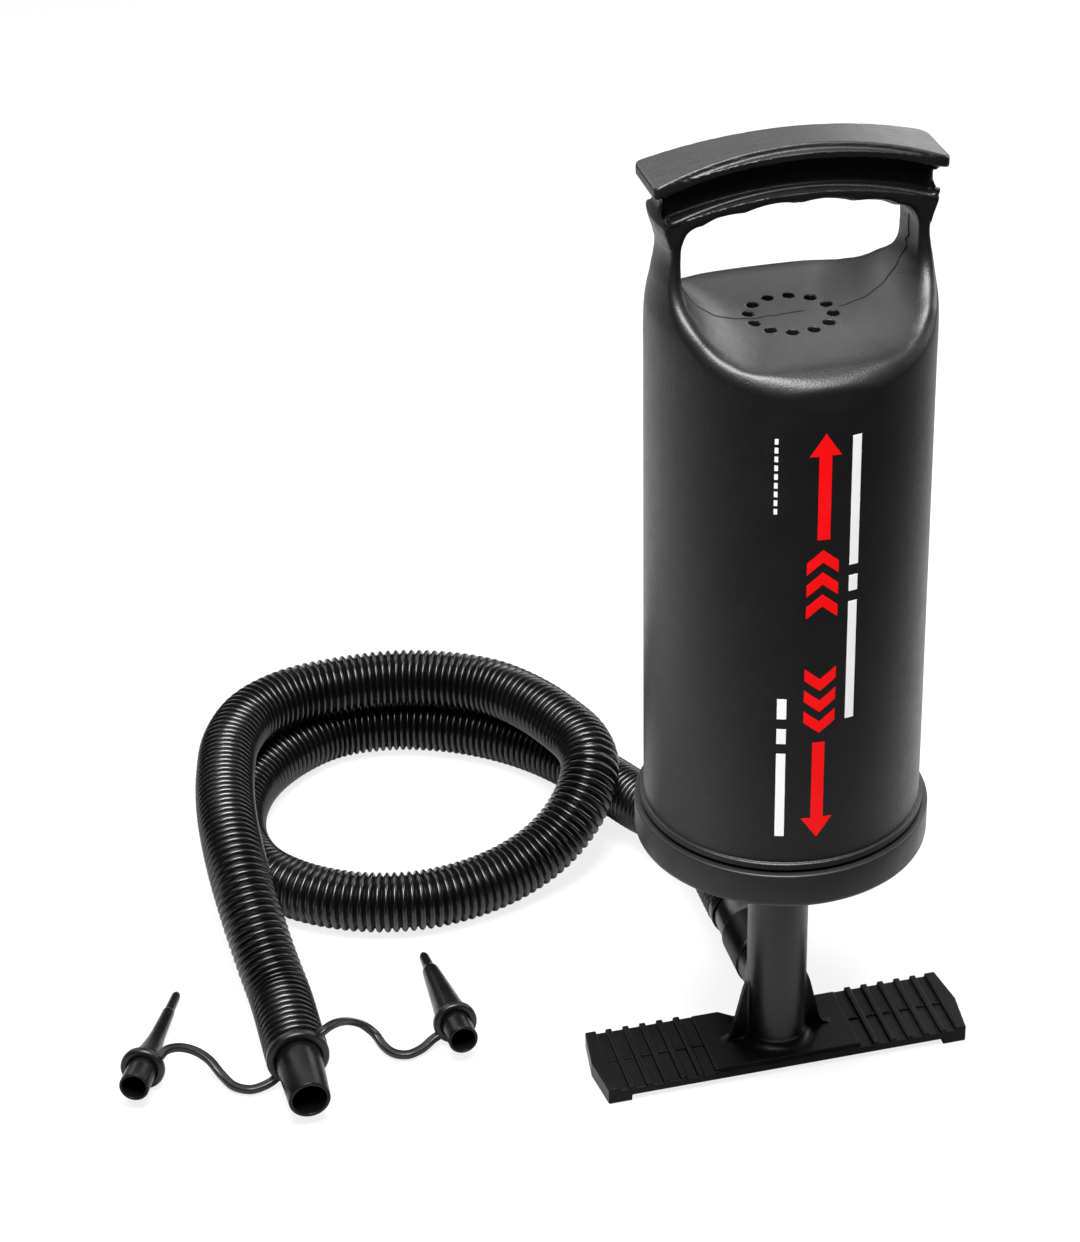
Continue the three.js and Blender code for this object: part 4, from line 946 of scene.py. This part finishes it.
def pin(radius, low, high, circle, angle, sides=24):
    """An upright cylinder at an angle on a circle round Z."""
    points, _ = turned([(radius, low), (radius, high)], sides)
    points += (circle * math.cos(angle), circle * math.sin(angle), 0)
    return points, capped_faces(2, sides)


def carved(obj, parts):
    """Cuts the parts out of a piece."""
    tool = linked("cutter", mesh_of("cutter", *combined(parts)))
    change = obj.modifiers.new("carve", "BOOLEAN")
    change.operation = "DIFFERENCE"
    change.solver = "EXACT"
    change.object = tool
    shape = bpy.data.meshes.new_from_object(obj.evaluated_get(bpy.context.evaluated_depsgraph_get()))
    obj.modifiers.clear()
    material = obj.data.materials[0]
    obj.data = shape
    obj.data.materials.clear()
    obj.data.materials.append(material)
    bpy.data.objects.remove(tool)
    obj.data.set_sharp_from_angle(angle=math.radians(35))


CAP_HOLES = 16
CAP_HOLE_RADIUS = 2.6
CAP_HOLE_CIRCLE = 30.25
cap_angles = [math.pi / CAP_HOLES * (2 * i + 1) for i in range(CAP_HOLES)]
carved(cap, [pin(CAP_HOLE_RADIUS, 101, 108, CAP_HOLE_CIRCLE, a) for a in cap_angles])

rod = spun("rod_tube_piece", [
    (9.2, 80.3, 0), (11.2, 80.3, 0.25), (11.2, 270, 0.3), (8.6, 270, 0.2), (8.6, 303, 0.2), (6.8, 303, 0.2),
    (6.8, 100, 0), (9.2, 98, 0),
], 96, COLUMN, "stand", "foot_plastic")
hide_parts("rod_tube")

FOOT_HALF_LENGTH = 70.5
FOOT_HALF_WIDTH = 17.7
PLATE_LOW, PLATE_TOP = 2.6, 5.5
TREAD_TOP = 6.9
TREAD_AT = [34.6 + 6.7 * i for i in range(5)]
TREAD_HALF_WIDTH = 1.25
PLATFORM_HALF_LENGTH = 28.8
COLUMN_RADIUS = 11.2
COLUMN_BORE = 9
COLUMN_TOP = 80
PORT_HEIGHT = PORT_AXIS[2]
# Above this height the column is drawn in rings
FOOT_SKIN_HIGH = 47.025
GUSSET = ((1, 0), (1, 0.05), (0.86, 0.12), (0.77, 0.35), (0.71, 0.54), (0.6, 0.87), (0.52, 1))
foot_plan = Drawn([
    (-5, -FOOT_HALF_WIDTH), (FOOT_HALF_LENGTH, -FOOT_HALF_WIDTH), (72.7, 0),
    (FOOT_HALF_LENGTH, FOOT_HALF_WIDTH), (-5, FOOT_HALF_WIDTH),
], (-2, -24), (80, 24), 0.3)
gusset_line = smooth_line([(21 * out, 5.5 + 28.5 * rise) for out, rise in GUSSET])
gusset_view = Drawn([(-4, 5), (21, 5), *gusset_line, (9, 34), (-4, 34)], (-2, -2), (60, 50), 0.3)
notch_view = Drawn([(-2, 12.4), (13, 12.4), (20, 18), (20, 30), (-2, 30)], (-2, -24), (80, 24), 0.3)


def foot_shape(x, y, z):
    """The plate with its feet and treads, the column's lower part with its gussets, and the hose port."""
    ax = np.abs(x)
    plan = foot_plan.at(ax, y)
    middle, half = (PLATE_LOW + TREAD_TOP) / 2, (TREAD_TOP - PLATE_LOW) / 2
    plate = both(plan, between(z, PLATE_LOW, PLATE_TOP), 0.4)
    feet = both(np.maximum(plan, FOOT_HALF_LENGTH - 9 - ax), between(z, 0, PLATE_TOP), 0.4)
    end_bars = both(np.maximum(plan, FOOT_HALF_LENGTH - 4.2 - ax), np.abs(z - middle) - half, 0.4)
    platform = slab(x, y, z, (0, 0, middle), (PLATFORM_HALF_LENGTH, FOOT_HALF_WIDTH - 1.3, half), 0.4)
    whole = np.minimum(np.minimum(plate, feet), np.minimum(end_bars, platform))
    for at in TREAD_AT:
        tread = slab(ax, y, z, (at, 0, middle), (TREAD_HALF_WIDTH, FOOT_HALF_WIDTH, half), 0.4)
        whole = np.minimum(whole, tread)
    ridge = slab(x, y, z, (0, 0, 4.4), (FOOT_HALF_LENGTH, 0.65, 1.8), 0.3)
    whole = np.minimum(whole, ridge)
    whole = both(whole, -notch_view.at(ax, y), 0.5)
    column = np.maximum(np.hypot(x, y) - COLUMN_RADIUS, 4 - z)
    gusset = both(gusset_view.at(ax, z), np.abs(y) - 1.5, 0.4)
    whole = either(whole, column, 4)
    whole = either(whole, gusset, 0.8)
    around = np.hypot(x, z - PORT_HEIGHT)
    neck = np.maximum(around - 11.3, np.maximum(-y, y - 13.5))
    cup = both(around - 12, between(y, 12.5, 32), 0.6)
    whole = either(either(whole, neck, 1.2), cup, 0.4)
    cup_bore = np.maximum(around - 9.8, 14.5 - y)
    port_bore = np.maximum(around - 7, -y)
    whole = both(whole, -cup_bore, 0.2)
    whole = np.maximum(whole, -port_bore)
    return np.maximum(whole, -np.maximum(np.hypot(x, y) - COLUMN_BORE, 23.5 - z))


def foot():
    """The whole foot: its lower part on a grid, drawn up in rings outside and inside."""
    outside = [(COLUMN_RADIUS, z) for z in (FOOT_SKIN_HIGH, 62, 79.6)] + [(11.1, 79.9), (10.8, COLUMN_TOP)]
    inside = [(COLUMN_BORE, z) for z in (FOOT_SKIN_HIGH, 62, COLUMN_TOP)]
    points, faces = lengthened(foot_shape, (-74.8, -19.8, -1.1), (74.8, 35.2, 46.2), 0.55, outside, inside)
    return piece("foot_plate_and_column", points, faces, FOOT, "stand", "foot_plastic", sharp=50)


foot_piece = foot()
shaded(foot_piece, foot_shape, -1)

# The column and its fillet on the plate shine more than the plate and the gussets
SHINE_LOW = 9.8
FILLET_REACH = 17
COLUMN_REACH = 11.9
GUSSET_REACH = 4
foot_piece.data.materials.append(COLUMN)
for polygon in foot_piece.data.polygons:
    at = polygon.center / MM
    reach = FILLET_REACH if abs(at.y) > GUSSET_REACH else COLUMN_REACH
    if at.z > SHINE_LOW and at.xy.length < reach:
        polygon.material_index = 1
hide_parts("foot_base")


# Printed marks on the barrel, thin layers of ink: s runs round the barrel, z up
INK_TOP = 0.07
INK_LOW = -0.05
PRINT_RADIUS = 49.25


def ink(name, outlines, material):
    """A print from outlines of (s, z) points, cut into narrow strips that follow the barrel."""
    work = bmesh.new()
    for outline in outlines:
        work.faces.new([work.verts.new((s, 0, z)) for s, z in outline])
    for cut in np.arange(-30, 30, 1.0):
        bmesh.ops.bisect_plane(work, geom=work.verts[:] + work.edges[:] + work.faces[:], dist=1e-4,
                               plane_co=(cut, 0, 0), plane_no=(1, 0, 0))
    bmesh.ops.recalc_face_normals(work, faces=work.faces)
    top = bmesh.ops.extrude_face_region(work, geom=work.faces[:])["geom"]
    raised = {g for g in top if isinstance(g, bmesh.types.BMVert)}
    for v in work.verts:
        radius = barrel_radius(v.co.z) + (INK_TOP if v in raised else INK_LOW)
        angle = v.co.x / PRINT_RADIUS
        v.co = (radius * math.sin(angle), -radius * math.cos(angle), v.co.z)
    piece(name, *taken_from(work), material, "barrel", "shell_plastic", sharp=60)


def bars(s0, s1, heights):
    return [[(s0, z0), (s1, z0), (s1, z1), (s0, z1)] for z0, z1 in heights]


def arrow(s0, s1, z0, z1, way):
    """An arrow that points up for way 1 and down for way -1."""
    middle = (s0 + s1) / 2
    stem = (s1 - s0) * 0.2
    low, high = (z0, z1) if way > 0 else (z1, z0)
    neck = high - way * (s1 - s0) * 0.75
    return [(middle - stem, low), (middle + stem, low), (middle + stem, neck), (s1, neck), (middle, high),
            (s0, neck), (middle - stem, neck)]


def chevron(s0, s1, z, height, way):
    middle = (s0 + s1) / 2
    rise = way * (s1 - s0) * 0.42
    return [(s0, z), (middle, z + rise), (s1, z), (s1, z + height), (middle, z + rise + height),
            (s0, z + height)]


RED_LOW, RED_HIGH = -8.6, 2.2
red = [arrow(RED_LOW, RED_HIGH, 249, 288, 1), arrow(RED_LOW, RED_HIGH, 131, 170, -1)]
red += [chevron(RED_LOW, RED_HIGH, 236 - 8.4 * i, 4.6, 1) for i in range(3)]
red += [chevron(RED_LOW, RED_HIGH, 178.4 + 8.4 * i, 4.6, -1) for i in range(3)]
white = bars(6, 9.2, ((238, 286), (228, 234), (178, 224)))
white += bars(-17.6, -14.4, ((132, 166), (170, 176), (180, 188)))
white += bars(-20, -18.8, [(259 + 3.2 * i, 261 + 3.2 * i) for i in range(9)])
ink("red_print", red, RED_INK)
ink("white_print", white, WHITE_INK)

# Inner parts keep their solids and get finishes
HARD_NODES = ("piston_lower", "piston_upper", "piston_sleeve", "piston_nut", "rod_bush", "deck_disc_cage",
              "bush_retainer")
SOFT_NODES = ("piston_seal_lower", "piston_seal_upper", "piston_disc_lower", "piston_disc_upper", "rod_seal",
              "deck_disc", "cap_gasket", "cap_disc")
for name in HARD_NODES + SOFT_NODES:
    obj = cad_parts[name]
    material = INNER if name in HARD_NODES else RUBBER
    if obj.material_slots:
        obj.material_slots[0].material = material
    else:
        obj.data.materials.append(material)


# Floor, world and lamps
WHITE = (1, 1, 1, 1)
FLOOR_REACH = 6000
# Painted light on the floor: a pool of light painted round the pump, pale near its middle and darker with
# distance, seen only in reflections and bounced light
FLOOR_LIGHT_MIDDLE = (-0.1, 0.5, 0)
FLOOR_PAINTED_LIGHT = ((0.5, 0.48), (0.64, 0.3), (0.75, 0.08), (0.92, 0.01))
FLOOR_GLOW = 0.82
WORLD_LIGHT = 0.05


def by_camera(tree, seen, unseen, out_kind):
    """Ends a tree with one shader for what the camera sees and another for all other light."""
    ray = node(tree, "ShaderNodeLightPath").outputs["Is Camera Ray"]
    mix = node(tree, "ShaderNodeMixShader", {"Fac": ray, 1: unseen.outputs[0], 2: seen.outputs[0]})
    node(tree, out_kind, {"Surface": mix.outputs[0]})


def floor():
    """Paper that looks white to the camera; to all other light it is a painted pool of light, pale round the
    pump and darker further off from it.
    """
    corners = [(FLOOR_REACH * u, FLOOR_REACH * v, 0) for u, v in ((-1, -1), (1, -1), (1, 1), (-1, 1))]
    obj = linked("floor", mesh_of("floor", corners, [(0, 1, 2, 3)]))
    obj.location.z = -0.0003
    material = bpy.data.materials.new("floor")
    material.use_nodes = True
    tree = material.node_tree
    tree.nodes.clear()
    # Painted pool of light: for every ray but the camera's, the paint darkens with distance from the pump
    away = node(tree, "ShaderNodeVectorMath", {0: object_place(tree), 1: FLOOR_LIGHT_MIDDLE}, operation="DISTANCE")
    colour = ramp(tree, away.outputs["Value"], [(distance, grey(shade)) for distance, shade in FLOOR_PAINTED_LIGHT])
    painted_light = node(tree, "ShaderNodeBsdfDiffuse", {"Color": colour})
    pale = node(tree, "ShaderNodeBsdfDiffuse", {"Color": (0.8, 0.8, 0.8, 1)})
    glow = node(tree, "ShaderNodeEmission")
    seen = node(tree, "ShaderNodeMixShader", {"Fac": FLOOR_GLOW, 1: pale.outputs[0], 2: glow.outputs[0]})
    by_camera(tree, seen, painted_light, "ShaderNodeOutputMaterial")
    obj.data.materials.append(material)


floor()
world = bpy.data.worlds.new("world")
bpy.context.scene.world = world
world.use_nodes = True
tree = world.node_tree
tree.nodes.clear()
soft = node(tree, "ShaderNodeBackground", {"Color": WHITE, "Strength": WORLD_LIGHT})
white_back = node(tree, "ShaderNodeBackground", {"Color": WHITE})
by_camera(tree, white_back, soft, "ShaderNodeOutputWorld")


def lamp(name, place, target, size, power):
    """A rectangular lamp that faces its target and isn't seen itself."""
    data = bpy.data.lights.new(name, "AREA")
    data.shape = "RECTANGLE"
    data.size, data.size_y = size
    data.energy = power
    obj = linked(name, data)
    obj.location = place
    obj.rotation_mode = "QUATERNION"
    obj.rotation_quaternion = (Vector(target) - Vector(place)).to_track_quat("-Z", "Y")
    obj.visible_camera = False


lamp("overhead", (-0.15, -0.3, 1.55), (-0.08, 0.05, 0.15), (0.8, 0.8), 72)
lamp("back", (0.03, 0.62, 0.84), (-0.02, 0.0, 0.3), (1.1, 0.32), 3.4)
lamp("back_right", (0.72, 1.0, 0.6), (0, 0, 0.31), (0.5, 0.5), 2.8)
lamp("back_left", (-0.5, 1.0, 0.6), (0, 0, 0.31), (0.5, 0.5), 2.4)
lamp("fill", (-0.7, -0.9, 1.5), (-0.05, 0, 0.15), (0.35, 0.35), 7)
lamp("right", (1.2, 0.35, 0.6), (0, 0, 0.2), (0.35, 1.0), 9.5)

bpy.context.scene.view_settings.view_transform = "Standard"
